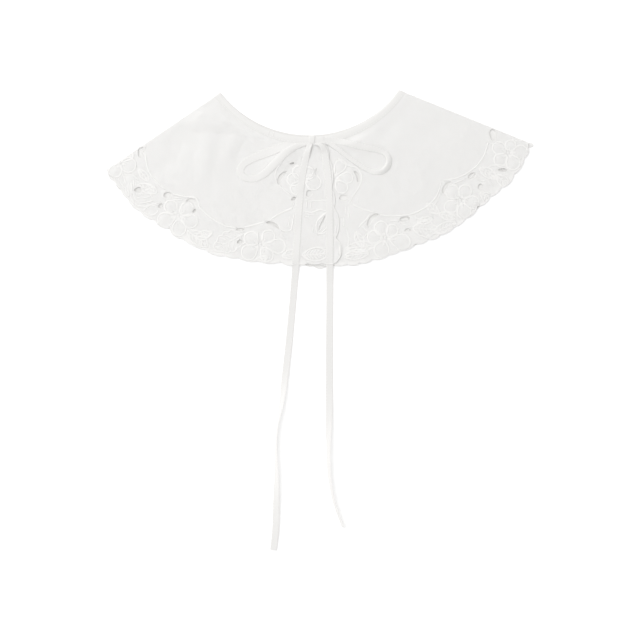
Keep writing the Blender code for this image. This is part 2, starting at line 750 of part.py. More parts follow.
def smooth_rows(rows, step):
    """Rows along a smooth curve through the given rows, evenly spaced."""
    table = np.array(rows, float)
    ends = np.vstack([2 * table[0] - table[1], table, 2 * table[-1] - table[-2]])
    fine = []
    for i in range(1, len(ends) - 2):
        before, here, after, beyond = ends[i - 1], ends[i], ends[i + 1], ends[i + 2]
        for share in np.linspace(0, 1, CURVE_STEPS, endpoint=False):
            fine.append(
                here
                + 0.5 * share * (after - before)
                + share**2 * (before - 2.5 * here + 2 * after - 0.5 * beyond)
                + share**3 * (1.5 * (here - after) + 0.5 * (beyond - before))
            )
    fine.append(table[-1])
    fine = np.array(fine)
    run = np.concatenate([[0], np.cumsum(np.linalg.norm(np.diff(fine[:, :2], axis=0), axis=1))])
    places = np.linspace(0, run[-1], max(2, round(run[-1] / step)) + 1)
    return np.array([np.interp(places, run, column) for column in fine.T]).T


def tape(name, rows, step, finish):
    """A flat tape swept along a table of x, y, lift, lean and width, lying on what is under it."""
    stations = smooth_rows(rows, step)
    centres, leans, widths = [], [], []
    for x, y, lift, lean_deg, width in stations:
        lean = math.radians(lean_deg)
        half_height = abs(math.sin(lean)) * width / 2 + math.cos(lean) * TAPE_WALL / 2
        under = resting(x, y, width)
        clearance = TAPE_CLEARANCE if under > WALL else FLOOR_CLEARANCE
        centres.append(Vector((x, y, under + clearance + half_height + lift)))
        leans.append(lean)
        widths.append(width)
    mesh = bmesh.new()
    rings = []
    for i, (centre, lean, width) in enumerate(zip(centres, leans, widths)):
        ahead = centres[min(i + 1, len(centres) - 1)] - centres[max(i - 1, 0)]
        along = ahead.normalized()
        left = Vector((0, 0, 1)).cross(along).normalized()
        up = along.cross(left)
        across = left * math.cos(lean) + up * math.sin(lean)
        face = along.cross(across)
        ring = []
        for side, top in ((1, 1), (-1, 1), (-1, -1), (1, -1)):
            corner = centre + across * side * width / 2 + face * top * TAPE_WALL / 2
            ring.append(mesh.verts.new(corner * MM))
        rings.append(ring)
    for ring, following in zip(rings, rings[1:]):
        for i in range(4):
            j = (i + 1) % 4
            mesh.faces.new((ring[i], ring[j], following[j], following[i]))
    mesh.faces.new(rings[0])
    mesh.faces.new(rings[-1])
    return finished(name, mesh, finish)


def rounded_block(size, base):
    """A block with round edges that stands on the given height."""
    mesh = bmesh.new()
    bmesh.ops.create_cube(mesh, size=1.0)
    bmesh.ops.scale(mesh, verts=mesh.verts[:], vec=Vector(size) * MM)
    place = Vector((*KNOT_CENTRE, base + size[2] / 2)) * MM
    bmesh.ops.translate(mesh, verts=mesh.verts[:], vec=place)
    bevel = min(KNOT_BEVEL, size[2] * KNOT_BEVEL_SHARE)
    bmesh.ops.bevel(
        mesh, geom=mesh.edges[:], offset=bevel * MM, segments=3, profile=0.5, affect="EDGES"
    )
    return mesh


def build_bow(finish):
    base = resting(*KNOT_CENTRE, KNOT_SIZE[0]) + TAPE_CLEARANCE
    knot = finished("tie_knot", rounded_block(KNOT_SIZE, base + KNOT_LIFT), finish)
    wrap = finished("knot_wrap", rounded_block(KNOT_WRAP_SIZE, base), finish)
    wrap.hide_render = True
    wrap.display_type = "WIRE"
    join = knot.modifiers.new("wrap", "BOOLEAN")
    join.operation = "UNION"
    join.object = wrap
    tape("tie_loop_left", LOOP_LEFT, TAPE_STEP, finish)
    tape("tie_loop_right", LOOP_RIGHT, TAPE_STEP, finish)
    tape("tie_tail_left", TAIL_LEFT, TAIL_STEP, finish)
    tape("tie_tail_right", TAIL_RIGHT, TAIL_STEP, finish)


def main():
    clear_scene()
    build_body(material("cotton", COTTON))
    build_binding(material("binding", BINDING))
    build_bow(material("tape", TAPE))


main()
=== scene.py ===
"""False collar of white cotton with cutwork embroidery, laid flat with its front up and its ties in a bow.

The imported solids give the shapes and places. Here the cloth, the neck binding and the tapes get their real
thinness, their soft creases and their stitching, and the embroidery is worked on them in raised thread.
Left and right are the viewer's. Tables are in millimetres, x to the right and y towards the neck, and MM
turns them into metres.
"""

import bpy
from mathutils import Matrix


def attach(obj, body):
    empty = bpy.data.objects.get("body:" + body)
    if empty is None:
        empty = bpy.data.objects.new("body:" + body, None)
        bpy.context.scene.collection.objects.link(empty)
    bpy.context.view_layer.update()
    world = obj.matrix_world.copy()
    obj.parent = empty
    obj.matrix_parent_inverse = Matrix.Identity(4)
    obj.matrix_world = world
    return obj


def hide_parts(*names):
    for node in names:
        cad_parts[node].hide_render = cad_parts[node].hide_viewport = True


bl_info = {
    "name": "False Collar",
    "version": (1, 0, 0),
    "blender": (4, 5, 0),
    "location": "3D View > Sidebar > Collar",
    "description": "Dresses the packed false collar with cloth, binding, ties and embroidery",
    "category": "Object",
}

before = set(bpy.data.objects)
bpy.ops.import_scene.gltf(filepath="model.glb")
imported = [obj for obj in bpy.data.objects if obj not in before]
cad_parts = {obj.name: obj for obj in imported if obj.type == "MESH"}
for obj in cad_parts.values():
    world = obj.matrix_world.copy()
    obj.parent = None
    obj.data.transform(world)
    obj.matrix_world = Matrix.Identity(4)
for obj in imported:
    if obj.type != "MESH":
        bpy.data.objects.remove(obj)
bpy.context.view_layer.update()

import math

import bmesh
import bpy
import numpy as np
from mathutils import Vector
from mathutils.geometry import delaunay_2d_cdt
from mathutils.kdtree import KDTree

MM = 0.001

# Steps of a smooth curve between two given points
SPAN = 12

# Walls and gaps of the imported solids
WALL = 1.0
LAYER_GAP = 0.35
LAYER = WALL + LAYER_GAP
BINDING_WIDTH = 6.4
BINDING_EXTRA = 0.4

# Neck edges, as circles, and shoulder folds from the neck to the hem
BACK_NECK = {"centre": (-10.2, 150.0), "radius": 108.3}
FRONT_NECK = {"centre": (-10.3, 143.4), "radius": 103.85}
FOLD_LEFT = {"neck": (-94.9, 82.1), "hem": (-203.0, 8.9), "inside": 1}
FOLD_RIGHT = {"neck": (75.3, 84.6), "hem": (203.0, 33.0), "inside": -1}

# How far past the middle each front's binding ends, and inside the folds the back's binding does
LAP_END_DEG = 8.1
BACK_INSET = 1.8

# The middle of the round hem, and the distances from it over which a tape comes down onto the surface
HEM_CENTRE = (-6.4, 165.2)
HEM_DROP = (243.0, 266.0)

# Step of the binding's mesh, its stitches, and the places and size of the tacks on it
BINDING_STEP = 1.1
BINDING_STITCH_IN = 0.85
BINDING_STITCH_HEIGHT = 0.18
BAR_TACK_DEG = (-20.9, -18.5)
BAR_TACK_DEPTHS = (1.6, 3.8)
BAR_TACK = {"length": 2.3, "width": 1.0, "height": 0.35}

# Soft folds and crowns that lift each front off the back
FOLDS_LEFT = (
    # x, y, along, across, turn_deg, rise
    (-112, -2, 58, 32, -35, 0.8),
    (-108, 21, 24, 8.5, 82, 1.3),
    (-139, 30, 16, 8, 70, -0.9),
    (-150, 44, 20, 7, 35, 0.9),
    (-66, 27.5, 18, 9, 30, -0.8),
    (-84, 30, 16, 8, 60, 0.9),
    (-82, -62, 22, 10, -15, 0.2),
    (-154, -26, 18, 9, -40, 0.2),
)
FOLDS_RIGHT = (
    # x, y, along, across, turn_deg, rise
    (106, 12, 58, 30, 28, 0.8),
    (103, 64, 20, 7, -22, 0.9),
    (72, 30, 30, 12, 55, 0.5),
    (86, -56, 22, 10, 15, 0.4),
    (154, -12, 18, 9, 42, 0.3),
    (36, -72, 16, 10, 5, 0.3),
)

# Within this of their shoulder folds and of the binding, the fronts calm down
FOLD_CALM = 26.0
NECK_CALM = 14.0

# The lap: where the left front climbs onto the right one, how much closer they lie than their solids, and where
# the right front comes out from under it
LAP_RAMP = (-56.0, -27.0)
LAP_DROP = 0.7
LAP_SHOWN = (4.0, 18.0)

# How much higher the fronts lie at the neck, on the back's binding
NECK_RISE = 0.55

# The back lies up against the fronts by this share, but for its rim, and changes from one front to the other
BACK_FOLLOWS = 0.95
BACK_RIM = (236.0, 246.0)
LAP_BEHIND = (-30.0, -20.0)

# Middle of the cloth above the underside of its solid, its deepest dent, and how it turns round a shoulder fold
FRONT_MIDDLE = 0.2
BACK_MIDDLE = 0.6
DEEPEST = -0.15
ROLL_RADIUS = 1.0
ROLL_START = 1.25
ROLL_CLOTH = 2.7
ROLL_REACH = 3.3
ROLL_ROW = 0.3
UNDER_RUN = 0.5
ON_FOLD = 0.05

# Steps of the outlines and the holes, and the turn that makes a corner of a hole sharp
OUTLINE_STEP = 0.9
HOLE_STEP = 0.55
HOLE_CORNER_DEG = 80.0

# Faint creases all over the cloth, its main ridges and troughs, and the pucker of the worked band
CREASES = (
    # size_x, size_y, turn_deg, height
    (17, 38, 24, 0.2),
    (11, 24, -38, 0.13),
    (6, 9, 10, 0.05),
)
WRINKLES_LEFT = (
    # x, y, along, across, turn_deg, rise
    (-102, 54.5, 34, 10, -6, 1.3),
    (-98, 36, 36, 9.5, -4, -1.3),
    (-136, 31, 20, 6, 72, -0.4),
    (-60, 40.5, 16, 7, -22, 0.8),
    (-35.4, 19, 19, 8.5, 44, 2.1),
)
WRINKLES_RIGHT = (
    # x, y, along, across, turn_deg, rise
    (39, 34, 26, 10.5, -14, 2.3),
)
PUCKER = {"size": 4.6, "height": 0.13, "from_radius": 196.0, "to_radius": 214.0}

# Where the creases start, from the neck and from a shoulder fold
CREASED_FROM_NECK = (BINDING_WIDTH + 0.3, BINDING_WIDTH + 7.0)
CREASED_FROM_FOLD = (ROLL_START, 8.0)

# Flowers of the embroidery, with each petal's direction, length and width
FLOWERS_LEFT = (
    # x, y, petals
    (-134.5, -35, ((35, 17, 13), (-23, 19.5, 13), (-86, 19, 13), (-162, 20, 14), (129, 17, 12))),
    (-56.5, -62.5, ((146, 17, 13), (214, 20, 14), (45, 17, 12), (-5, 24, 13.5), (-58, 18, 12))),
    (-15.9, -2, ((-8, 17.2, 13.5), (52, 15, 11), (115, 15, 12), (172, 15, 12), (232, 15, 12))),
    (-190, 14.6, ((-120, 14, 12), (-10, 15.5, 14), (42, 16, 9))),
)
FLOWERS_RIGHT = (
    # x, y, petals
    (62.5, -56, ((-14, 24, 15), (48, 15, 11), (114, 16.5, 13), (176, 17, 12), (-108, 19, 14))),
    (13.5, 0.4, ((3, 18, 10.5), (63, 19, 10.5), (-48, 17, 11), (128, 15, 11), (208, 15, 11))),
    (133.5, -20.5, ((133, 17.5, 13), (62, 16, 12), (-8, 18, 12), (-72, 18, 13), (-145, 17, 12))),
    (179, 24.6, ((-62, 17, 13), (4, 18.5, 13), (-138, 16, 12), (152, 16, 12), (72, 12.5, 10))),
)
# The back's flowers have five even petals
EVEN_FLOWERS_BACK = (
    # x, y, first_deg, long, wide
    (-150, -26, 50, 16, 12),
    (-78, -52, 80, 16, 12),
    (0, -62, 90, 16, 12),
    (82, -54, 100, 16, 12),
    (145, -26, 130, 16, 12),
    (-176, 14, 60, 14, 11),
    (172, 22, 120, 14, 11),
)
FLOWERS_BACK = tuple(
    (x, y, tuple((first_deg - 72 * i, long, wide) for i in range(5)))
    for x, y, first_deg, long, wide in EVEN_FLOWERS_BACK
)

# Leaves, from their base. Bent ones curve to their left, veins come in pairs, and lobed ones have a wavy edge
LEAVES_LEFT = (
    # x, y, turn_deg, long, wide, bend_deg, veins, lobes
    (-154, -13, 158, 20, 9, 0, 3, 0),
    (-152.5, -28.6, 189, 15, 9.5, 0, 0, 0),
    (-126, -49, -38, 25, 12, 8, 5, 0),
    (-101.5, -51, 196, 18, 8, 0, 4, 0),
    (-71, -51, 208, 34, 20, 8, 6, 5),
    (-2, -52.6, 66, 23, 10.5, 0, 0, 0),
    (-36, -74, 14, 17, 8, 10, 4, 0),
    (-17, -72.5, 5, 27, 12.5, -6, 8, 0),
    (-49, -73.5, 206, 15, 6, 0, 3, 0),
    (-172, 9.4, -50, 15, 6.5, 0, 3, 0),
)
LEAVES_RIGHT = (
    # x, y, turn_deg, long, wide, bend_deg, veins, lobes
    (54, -62.4, 187, 30, 10, 4, 5, 0),
    (47, -70.6, 188, 24, 9, -8, 5, 0),
    (88.5, -47, -4, 24, 15, 6, 6, 5),
    (108, -51, 24, 24, 9, 0, 6, 0),
    (151.3, 10.4, -31, 20, 8.5, 8, 4, 0),
    (167.4, 3.7, -38, 17, 9, -6, 4, 0),
    (113, -33, 140, 15, 8, 0, 3, 0),
    (152, -13, -34, 17, 8.5, 0, 4, 0),
    (113, -33, -14, 17, 8, 0, 3, 0),
    (34, -50, -64, 17, 8, 0, 4, 0),
    (92, -41.5, 14, 16, 6.5, 0, 3, 0),
)
LEAVES_BACK = (
    # x, y, turn_deg, long, wide, bend_deg, veins, lobes
    (-122, -46, 150, 22, 10, 0, 5, 0),
    (-112, -42, -20, 22, 10, 0, 5, 0),
    (-36, -62, 172, 24, 10, 0, 5, 0),
    (34, -60, 6, 24, 10, 0, 5, 0),
    (112, -42, 200, 22, 10, 0, 5, 0),
    (120, -46, 30, 20, 10, 0, 5, 0),
)

# Corded lines: the border between plain and worked cloth, the centre band, and the stems
LINES_LEFT = (
    # width, then x, y of each point
    (1.3, -165.8, 33, -165, 18, -161.6, 6, -156, -1.6, -151, -7.2, -146.4, -9.8),
    (1.5, -141.4, -13.2, -136, -15, -130, -16.4, -122, -17.2, -117.4, -18.2, -115.6, -21.8, -114.4, -26, -112, -29.6,
     -108, -33.2, -104, -36.6, -99, -40, -94, -42.8, -88, -45, -82, -46, -76, -46.3, -70, -45.5, -62, -43.6,
     -54, -41.3, -47, -38.9, -42, -35.2, -36, -32, -30, -29.5, -25.5, -27.6),
    (1.1, -145.4, -20.7, -138, -20.2, -130, -19.6),
    (1, -139, -17.4, -133, -18, -127.4, -18.6),
    (1.2, -25, -25.7, -25.6, -20, -28.3, -15.3, -33.5, -11, -38.7, -5.3, -42.2, 0.9, -41.2, 8, -36.8, 15.1,
     -32.1, 22.7, -27.3, 29.4),
    (1.3, -46, -39.4, -41.6, -42.6, -37.8, -46.4, -35.8, -48.7, -27.4, -48.4, -26, -43, -24.6, -34),
    (1, -29.4, -45.6, -28.6, -35.6),
    (1.2, -118, -54.4, -110, -55.6, -105.6, -55, -103, -52.4, -101.8, -50),
    (1.2, -112, -57.4, -111.8, -65),
    (1.1, -104.6, -61.6, -105, -67.4),
    (1.1, -80.4, -58, -77.8, -61.4, -75.2, -62.4, -72.2, -61.4, -69.6, -59),
    (1.2, -58.8, -50.4, -58.6, -58),
    (1.2, -53.8, -50.4, -54, -58.4),
    (1.1, -146.2, -21.4, -148.8, -24.2, -147.8, -28, -144.4, -31.2, -139.4, -31),
    (1.2, -178.6, -4, -178.8, -13, -179, -18, -176.4, -22.8, -171, -25.8, -164, -25.8, -157, -23.6, -151.8, -22.4),
    (1.2, -176.2, -1, -176.8, -7, -177, -14, -175.4, -19, -171.6, -21.8, -165.6, -22.4, -158, -20.6),
    (1, -181.4, -3, -182, -9, -181.4, -14.4, -180.6, -17.2),
    (1.1, -191, 1.2, -188.4, -4.8, -184.6, -9.4, -184, -13.6),
    (1.1, -187.4, 5, -185.2, -0.8, -184, -4.6),
    (1, -174.8, -15.4, -167.6, -15.4),
    (1, -173.4, -18.2, -166, -18, -161, -16.4),
    (1.1, -166.6, -10.6, -160.8, -9.4, -157.2, -6.8),
    (1, -168, -4.2, -163, -5.6, -158.6, -8.2),
    (1.1, -161.2, -13.6, -159.8, -17, -158.6, -20),
    (1.1, -186, 4.4, -180, 4.2, -175.4, 2.2, -172, -1.6),
    (1.3, -14.6, -30.6, -8, -31.9, -3.4, -30.5, 1.5, -29.2, 7, -30.4, 13.2, -29.6),
    (1, -14.4, -33.4, -8, -34, -3.6, -33.2),
    (1, -14.4, -35.8, -9, -35.8),
    (1, -14, -19.6, -6, -20.8, 2, -20.4, 10.4, -20),
    (1.2, -8.4, -21.6, -8, -28),
    (1, -12.4, -21.6, -12.2, -27.8),
    (1.2, -7.4, -17.4, -7.2, -12.6, -5, -10.6),
    (1.3, -4.6, 9.4, -6.6, 4.8, -9.6, 3.4, -12.4, 3.4),
    (1.2, -1.4, -39.6, 2.4, -35.4, 5.4, -33.4, 7.4, -35.4, 7.8, -41),
    (1.2, -1.4, -51.8, 2.6, -52.2, 5.6, -50.2, 8, -49.8),
    (1.1, -4, -42.6, -3.4, -46, -3.8, -50),
    (1, -7, -44.6, -6.4, -50.4),
    (1, 2, -55, 6.4, -53.2),
    (1.1, 14.6, -43.6, 15.2, -47, 15.6, -51),
    (1.1, 18.6, -62.4, 19.2, -68, 19, -74),
    (1, 14.6, -59.6, 18.6, -58.4),
    (1, -37.6, -52, -34, -56, -30.6, -56.6),
)
LINES_RIGHT = (
    # width, then x, y of each point
    (1.3, 160.2, 35.6, 158.2, 28.4, 155.8, 21.8, 152.6, 16.8, 148.6, 12, 143, 7.4, 136.6, 3.6, 129, 0.4, 122.4, -0.8,
     117.2, -1.4),
    (1.3, 115.4, -3.6, 113.6, -9.4, 110.8, -16.4, 107.4, -20.8, 103, -25.4, 98, -28.5, 93, -31.2, 88, -33.1, 82, -34.2,
     75, -35.1, 65, -35.1, 58, -33.8, 52, -31.9, 46, -30, 38, -27.4, 31, -24.2),
    (1.3, 47.8, -33.6, 43.2, -39.6, 39.4, -43.2, 36.8, -46.6),
    (1.3, 41.4, -45, 44, -48.6, 46.4, -50.2, 43.4, -53.8, 40.6, -57.4),
    (1.2, 26.8, -24.9, 31.6, -16.2, 36.8, -8.4, 39.8, -0.6, 39, 6.2, 35.4, 10.6, 29, 12, 22.4, 15, 17, 19.8),
    (1.1, 18.6, -36.6, 22.6, -36.4, 23.2, -40, 22.9, -45.4),
    (1, 24.6, -26.6, 24.8, -34),
    (1, 27.6, -24.6, 28, -31.6, 27.4, -37),
    (1, 36, -17.4, 35.4, -23),
    (1, 25.4, -48, 28, -58, 26.6, -63.6),
    (1, 76.6, -41.6, 82, -43.8, 86.4, -45.6, 90.4, -45.4),
    (1, 66, -39.8, 71, -39.6, 75, -41),
    (1, 76, -45.6, 74.6, -50, 77.4, -52),
    (1.2, 90.6, -34.6, 92.6, -37.6, 98, -38.6, 104, -38.8),
    (1, 103.6, -28.4, 105, -34, 107.4, -36.4),
    (1, 99.4, -53.4, 106.6, -53.2),
    (1, 99.4, -55.8, 106.6, -55.4),
    (1, 122.6, -31.2, 130, -31.2),
    (1, 122.6, -34, 129.6, -34.2),
    (1, 145.4, -21.6, 151.6, -21.6),
    (1, 145.4, -24.2, 151.6, -24),
    (1, 120.8, -45.6, 124, -43, 127, -45.6, 130, -43),
    (1.1, 114.4, -13.6, 112, -20, 108.4, -25.4),
    (1.1, 126.8, -4.6, 133, -2, 138.4, 0.4),
    (1, 150.2, 2.6, 156, 1, 161, -3, 166, -6.6),
    (1, 158, 10.6, 164.6, 12.6, 171.6, 13.6, 179.6, 11.4),
    (1, 160.4, 34, 168, 33.4, 172.6, 34.4),
    (1, 182.6, 38.6, 188, 36, 193, 36.6),
    (1, 150.6, -2, 157, -1.4, 163.6, 1.4, 168, 3.4),
)
LINES_BACK = (
    # width, then x, y of each point
    (1.2, -164, 26, -158, 6, -146, -9, -128, -20, -108, -31, -86, -40, -60, -44.6, -34, -47.6, -6, -48.6, 24, -47.8,
     54, -44, 82, -38, 106, -28, 126, -14, 142, 0, 154, 14, 162, 32),
)

# Where a petal starts from its flower's middle, and how high it stands up
PETAL_START = 1.6
PETAL_DOME = 0.5

# Heights of the raised lines, the width above which one is a border, and the share of its width that lies
# between a rim's middle and the cloth's edge
LINE_HEIGHT = {"line": 0.14, "border": 0.2, "petal": 0.18, "vein": 0.11, "rim": 0.25}
BORDER_WIDTH = 1.05
RIM_INSET = 0.36

# Lines keep this far from the edge, the holes and the binding, and shorter bits than this many points are left out
EDGE_MARGIN = 1.0
HOLE_MARGIN = 0.9
NECK_MARGIN = 1.6
FEWEST_POINTS = 4

# The tapes, from end to end. A positive lean lifts the edge on the left of the way they run. An arch bows the
# tape up, a positive one most near its right edge and a negative one most near its left edge
LOOP_LEFT = (
    # x, y, lift, lean_deg, width, arch
    (-8, 37.7, 0.5, 0, 4.6, 0.3),
    (-16, 37, 0.3, 0, 5.6, 0.2),
    (-24, 35.2, 0.1, 0, 6.8, 0.1),
    (-34, 31.3, 0, 0, 7.8, 0.1),
    (-46, 26.2, 0, 0, 8, 0.1),
    (-57.5, 22.1, 0, 0, 7.9, 0.1),
    (-67, 17.8, 0, 0, 7.6, 0.1),
    (-73.4, 13, 0, 0, 7.2, 0.2),
    (-75.4, 7.6, 0, 0, 7, 0.2),
    (-73.4, 2.8, 0, 0, 6.8, 0.2),
    (-68, 0.2, 0, 0, 6.8, 0.1),
    (-61, 0.8, 0, 0, 7, 0),
    (-54.5, 3.6, 0, 0, 7.4, -0.3),
    (-48.4, 8.8, 0, 0, 7.8, -0.5),
    (-42.6, 14.4, 0, 0, 7.9, -0.5),
    (-37.4, 20.2, 0, 0, 7.8, -0.5),
    (-31, 25.8, 0, 0, 7.4, -0.6),
    (-23, 30.6, 0, 0, 6.4, -0.8),
    (-8, 35.4, 0.3, 0, 4.6, 0),
)
LOOP_RIGHT = (
    # x, y, lift, lean_deg, width, arch
    (-6.4, 36.8, 0.5, 0, 4.6, 0.2),
    (1.5, 36.4, 0.3, 0, 5, 0.5),
    (8, 34.4, 0.1, 0, 5, 0.5),
    (15.4, 29.6, 0, 0, 5, 0.5),
    (25.5, 21.9, 0, 0, 5, 0.5),
    (35.5, 14.8, 0, 0, 5, 0.5),
    (44.9, 9, 0, 0, 5, 0.3),
    (52.4, 6.4, 0, 0, 5.4, -0.7),
    (59.2, 7.2, 0, 0, 5.8, -1.7),
    (64.2, 11.4, 0, 0, 5.8, -2.1),
    (65.6, 17.8, 0, 0, 5.4, -1.4),
    (63.2, 23.4, 0, 0, 5.2, -0.6),
    (57, 26.7, 0, 0, 5.6, 0.2),
    (48.7, 28.7, 0, 0, 6.4, 0.4),
    (38.2, 31, 0, 0, 6.8, 0.4),
    (26.8, 33.8, 0, 0, 6.6, 0.4),
    (15.4, 36, 0, 0, 6.2, 0.3),
    (6, 37.4, 0.2, 0, 5.4, 0.3),
    (-6.4, 38.3, 0.4, 0, 4.6, 0.2),
)
TAIL_LEFT = (
    # x, y, lift, lean_deg, width, arch
    (-8.4, 34.4, 0.3, 0, 4.2, 0.2),
    (-10.6, 29.2, 0, 16, 5.2, 0.4),
    (-12.2, 24.4, 0, 8, 6, 0.6),
    (-13.9, 17, 0, 0, 6.8, 0.3),
    (-16.5, 3.7, 0, 0, 6.8, 0),
    (-18.7, -15, 0, 0, 6.7, 0),
    (-20.4, -39, 0, 0, 6.7, 0),
    (-22, -66, 0, 0, 6.7, 0),
    (-23.8, -95.1, 0, 0, 6.7, 0),
    (-26.6, -128.3, 0, 0, 6.7, 0),
    (-29.7, -159.7, 0, 5, 6.7, 0),
    (-33, -188.2, 0, 14, 6.7, 0),
    (-36.3, -212.9, 0, 48, 6.5, 0),
    (-40.6, -234.3, 0, 66, 6.4, 0),
    (-41.8, -253.7, 0, 68, 6.4, 0),
    (-41.1, -277.5, 0, 52, 6.5, 0),
    (-41.3, -307, 0, 24, 6.7, 0),
    (-42, -333.6, 0, 10, 6.7, 0),
    (-44, -352.8, 0, 6, 6.5, 0),
)
TAIL_RIGHT = (
    # x, y, lift, lean_deg, width, arch
    (-5.6, 34.4, 0.1, 0, 4.2, 0.2),
    (-0.6, 33.2, 0, -10, 5, 0.4),
    (3, 29.8, 0, -12, 5.8, 0.4),
    (4.9, 24, 0, 0, 6.6, 0.4),
    (5.7, 17, 0, 0, 6.8, 0),
    (7, 9.5, 0, 0, 6.8, 0),
    (8.6, -10.5, 0, 0, 6.8, 0),
    (9.4, -45, 0, 0, 6.8, 0),
    (9.5, -79, 0, 0, 6.8, 0),
    (9.5, -118, 0, 0, 6.8, 0),
    (9.2, -160, 0, 0, 6.8, 0),
    (9.1, -200, 0, 4, 6.8, 0),
    (8.9, -229, 0, 20, 6.7, 0),
    (8.3, -250, 0, 46, 6.6, 0),
    (8.5, -271, 0, 56, 6.5, 0),
    (10.3, -290, 0, 62, 6.5, 0),
    (13.2, -305, 0, 66, 6.5, 0),
    (18, -319.3, 0, 66, 6.5, 0),
    (22.4, -330.7, 0, 64, 6.5, 0),
)

# Step of the tapes' mesh, and their stitches: how far in from the edges, how wide and how high
TAPE_STEP = 1.5
STITCH_IN = 1.0
STITCH_WIDTH = 0.6
STITCH_HEIGHT = 0.17

# The tapes are pressed a little into the cloth that they lie on, so that no gap shows under their edges
REST_ON_CLOTH = -0.1
REST_ON_TABLE = 0.1
REST_REACH = 0.7

# The knot: the gathered tapes along it, the height of its middle, and the tape that is wrapped over them
KNOT_CENTRE = (-7.2, 37.1)
KNOT_CORE = (
    # along, half_depth, half_height
    (-3.5, 2.3, 0.5),
    (-3.1, 2.8, 0.65),
    (-2.4, 3.2, 0.75),
    (-1.4, 3.5, 0.85),
    (0, 3.6, 0.9),
    (1.4, 3.5, 0.85),
    (2.4, 3.2, 0.75),
    (3.1, 2.8, 0.65),
    (3.5, 2.3, 0.5),
)
KNOT_MIDDLE = 0.75
KNOT_WRAP = {"half_depth": 3.9, "half_height": 1.0, "width": 4.7}
KNOT_CORE_SIDES = 40
KNOT_WRAP_RINGS = 64


# Sizes and colours that a user would change


def from_hex(text):
    """An sRGB hex colour as the linear numbers that shaders take."""
    values = [int(text[i : i + 2], 16) / 255 for i in (1, 3, 5)]
    return tuple(v / 12.92 if v <= 0.04045 else ((v + 0.055) / 1.055) ** 2.4 for v in values)


def colour(name, text, described):
    return bpy.props.FloatVectorProperty(
        name=name, description=described, subtype="COLOR", size=3, min=0, max=1, default=from_hex(text)
    )


def number(name, value, described, low=0.0, high=1000.0, unit="NONE"):
    return bpy.props.FloatProperty(
        name=name, description=described, default=value, min=low, max=high, precision=5, unit=unit
    )


def distance(name, value, described):
    return number(name, value, described, unit="LENGTH")


class CollarStageSettings(bpy.types.PropertyGroup):
    floor_colour: colour("Floor", "#fafafa", "Colour of the plain surface under the collar")
    floor_glow: number("Floor glow", 0.18, "How strongly the surface glows, as a light table does")
    camera_height: distance("Camera height", 1.69, "Height of the camera over the surface")
    lens: number("Lens", 100.0, "Focal length of the camera", low=20.0, unit="CAMERA")
    key_power: number("Key light", 47.0, "Power of the soft light from the upper left", unit="POWER")
    fill_strength: number("Fill light", 0.755, "Strength of the even light from all round")


class CollarClothSettings(bpy.types.PropertyGroup):
    cloth_colour: colour("Cloth", "#eeedeb", "Colour of the cotton lawn")
    thickness: distance("Thickness", 0.00045, "Thickness of the cloth")
    grid: distance("Mesh step", 0.00135, "Size of the faces of the two fronts")
    back_grid: distance("Back mesh step", 0.002, "Size of the faces of the back")
    crease: number("Crease", 1.0, "How strongly the cloth is creased", high=2.0)


class CollarBindingSettings(bpy.types.PropertyGroup):
    binding_colour: colour("Binding", "#e9e8e6", "Colour of the bias binding at the neck")
    half_thickness: distance("Half thickness", 0.00038, "Half of the binding's thickness")
    stitch_length: distance("Stitch", 0.0022, "Length of one stitch")
    stitch_gap: distance("Stitch gap", 0.0006, "Gap between two stitches")


class CollarEmbroiderySettings(bpy.types.PropertyGroup):
    # Lighter than the cloth: partly the thread's own colour, partly painted highlight on the raised lines and stitched
    # rows
    thread_and_highlight_colour: colour("Thread", "#f2f1ef", "Colour of the embroidery thread")
    line_height: number("Relief", 1.0, "How high the lines stand, against their usual height", 0.2, 2.0)
    line_width: number("Line width", 1.15, "How wide the lines are, against their usual width", 0.5, 2.0)
    edge_width: distance("Edge", 0.0013, "Width of the worked edge along the hem")
    rim_width: distance("Hole rim", 0.0011, "Width of the worked edge round each cut hole")


class CollarTieSettings(bpy.types.PropertyGroup):
    tape_colour: colour("Tape", "#e9e8e6", "Colour of the tapes")
    thickness: distance("Thickness", 0.00036, "Thickness of a tape")
    stitch_length: distance("Stitch", 0.0023, "Length of one stitch")
    stitch_gap: distance("Stitch gap", 0.0006, "Gap between two stitches")


# Small helpers


def soft_step(value, low, high):
    """0 below low, 1 above high, and a smooth rise between them."""
    share = np.clip((value - low) / (high - low), 0.0, 1.0)
    return share * share * (3.0 - 2.0 * share)


def fold_inward(fold):
    """The direction from a shoulder fold into its front."""
    (ax, ay), (bx, by) = fold["neck"], fold["hem"]
    run = math.hypot(bx - ax, by - ay)
    return (-fold["inside"] * (by - ay) / run, fold["inside"] * (bx - ax) / run)


def fold_depth(fold, x, y):
    """How far points lie inside a shoulder fold."""
    ix, iy = fold_inward(fold)
    return (x - fold["neck"][0]) * ix + (y - fold["neck"][1]) * iy


def neck_depth(circle, x, y):
    """How far points lie outside a neck circle."""
    cx, cy = circle["centre"]
    return np.hypot(x - cx, y - cy) - circle["radius"]


def on_circle(circle, extra, angle_deg):
    """Points of a neck circle, widened by extra, by their angles from straight down."""
    angle = np.radians(angle_deg)
    cx, cy = circle["centre"]
    radius = circle["radius"] + extra
    return np.stack([cx + radius * np.sin(angle), cy - radius * np.cos(angle)], axis=-1)


def soft_noise(x, y, size, seed):
    """Smooth random values from -1 to 1, in patches of about that size."""
    table = np.random.default_rng(seed).uniform(-1, 1, (64, 64))
    u, v = x / size, y / size
    i, j = np.floor(u).astype(int), np.floor(v).astype(int)
    fu, fv = soft_step(u - i, 0, 1), soft_step(v - j, 0, 1)
    left = table[i % 64, j % 64] * (1 - fv) + table[i % 64, (j + 1) % 64] * fv
    right = table[(i + 1) % 64, j % 64] * (1 - fv) + table[(i + 1) % 64, (j + 1) % 64] * fv
    return left * (1 - fu) + right * fu


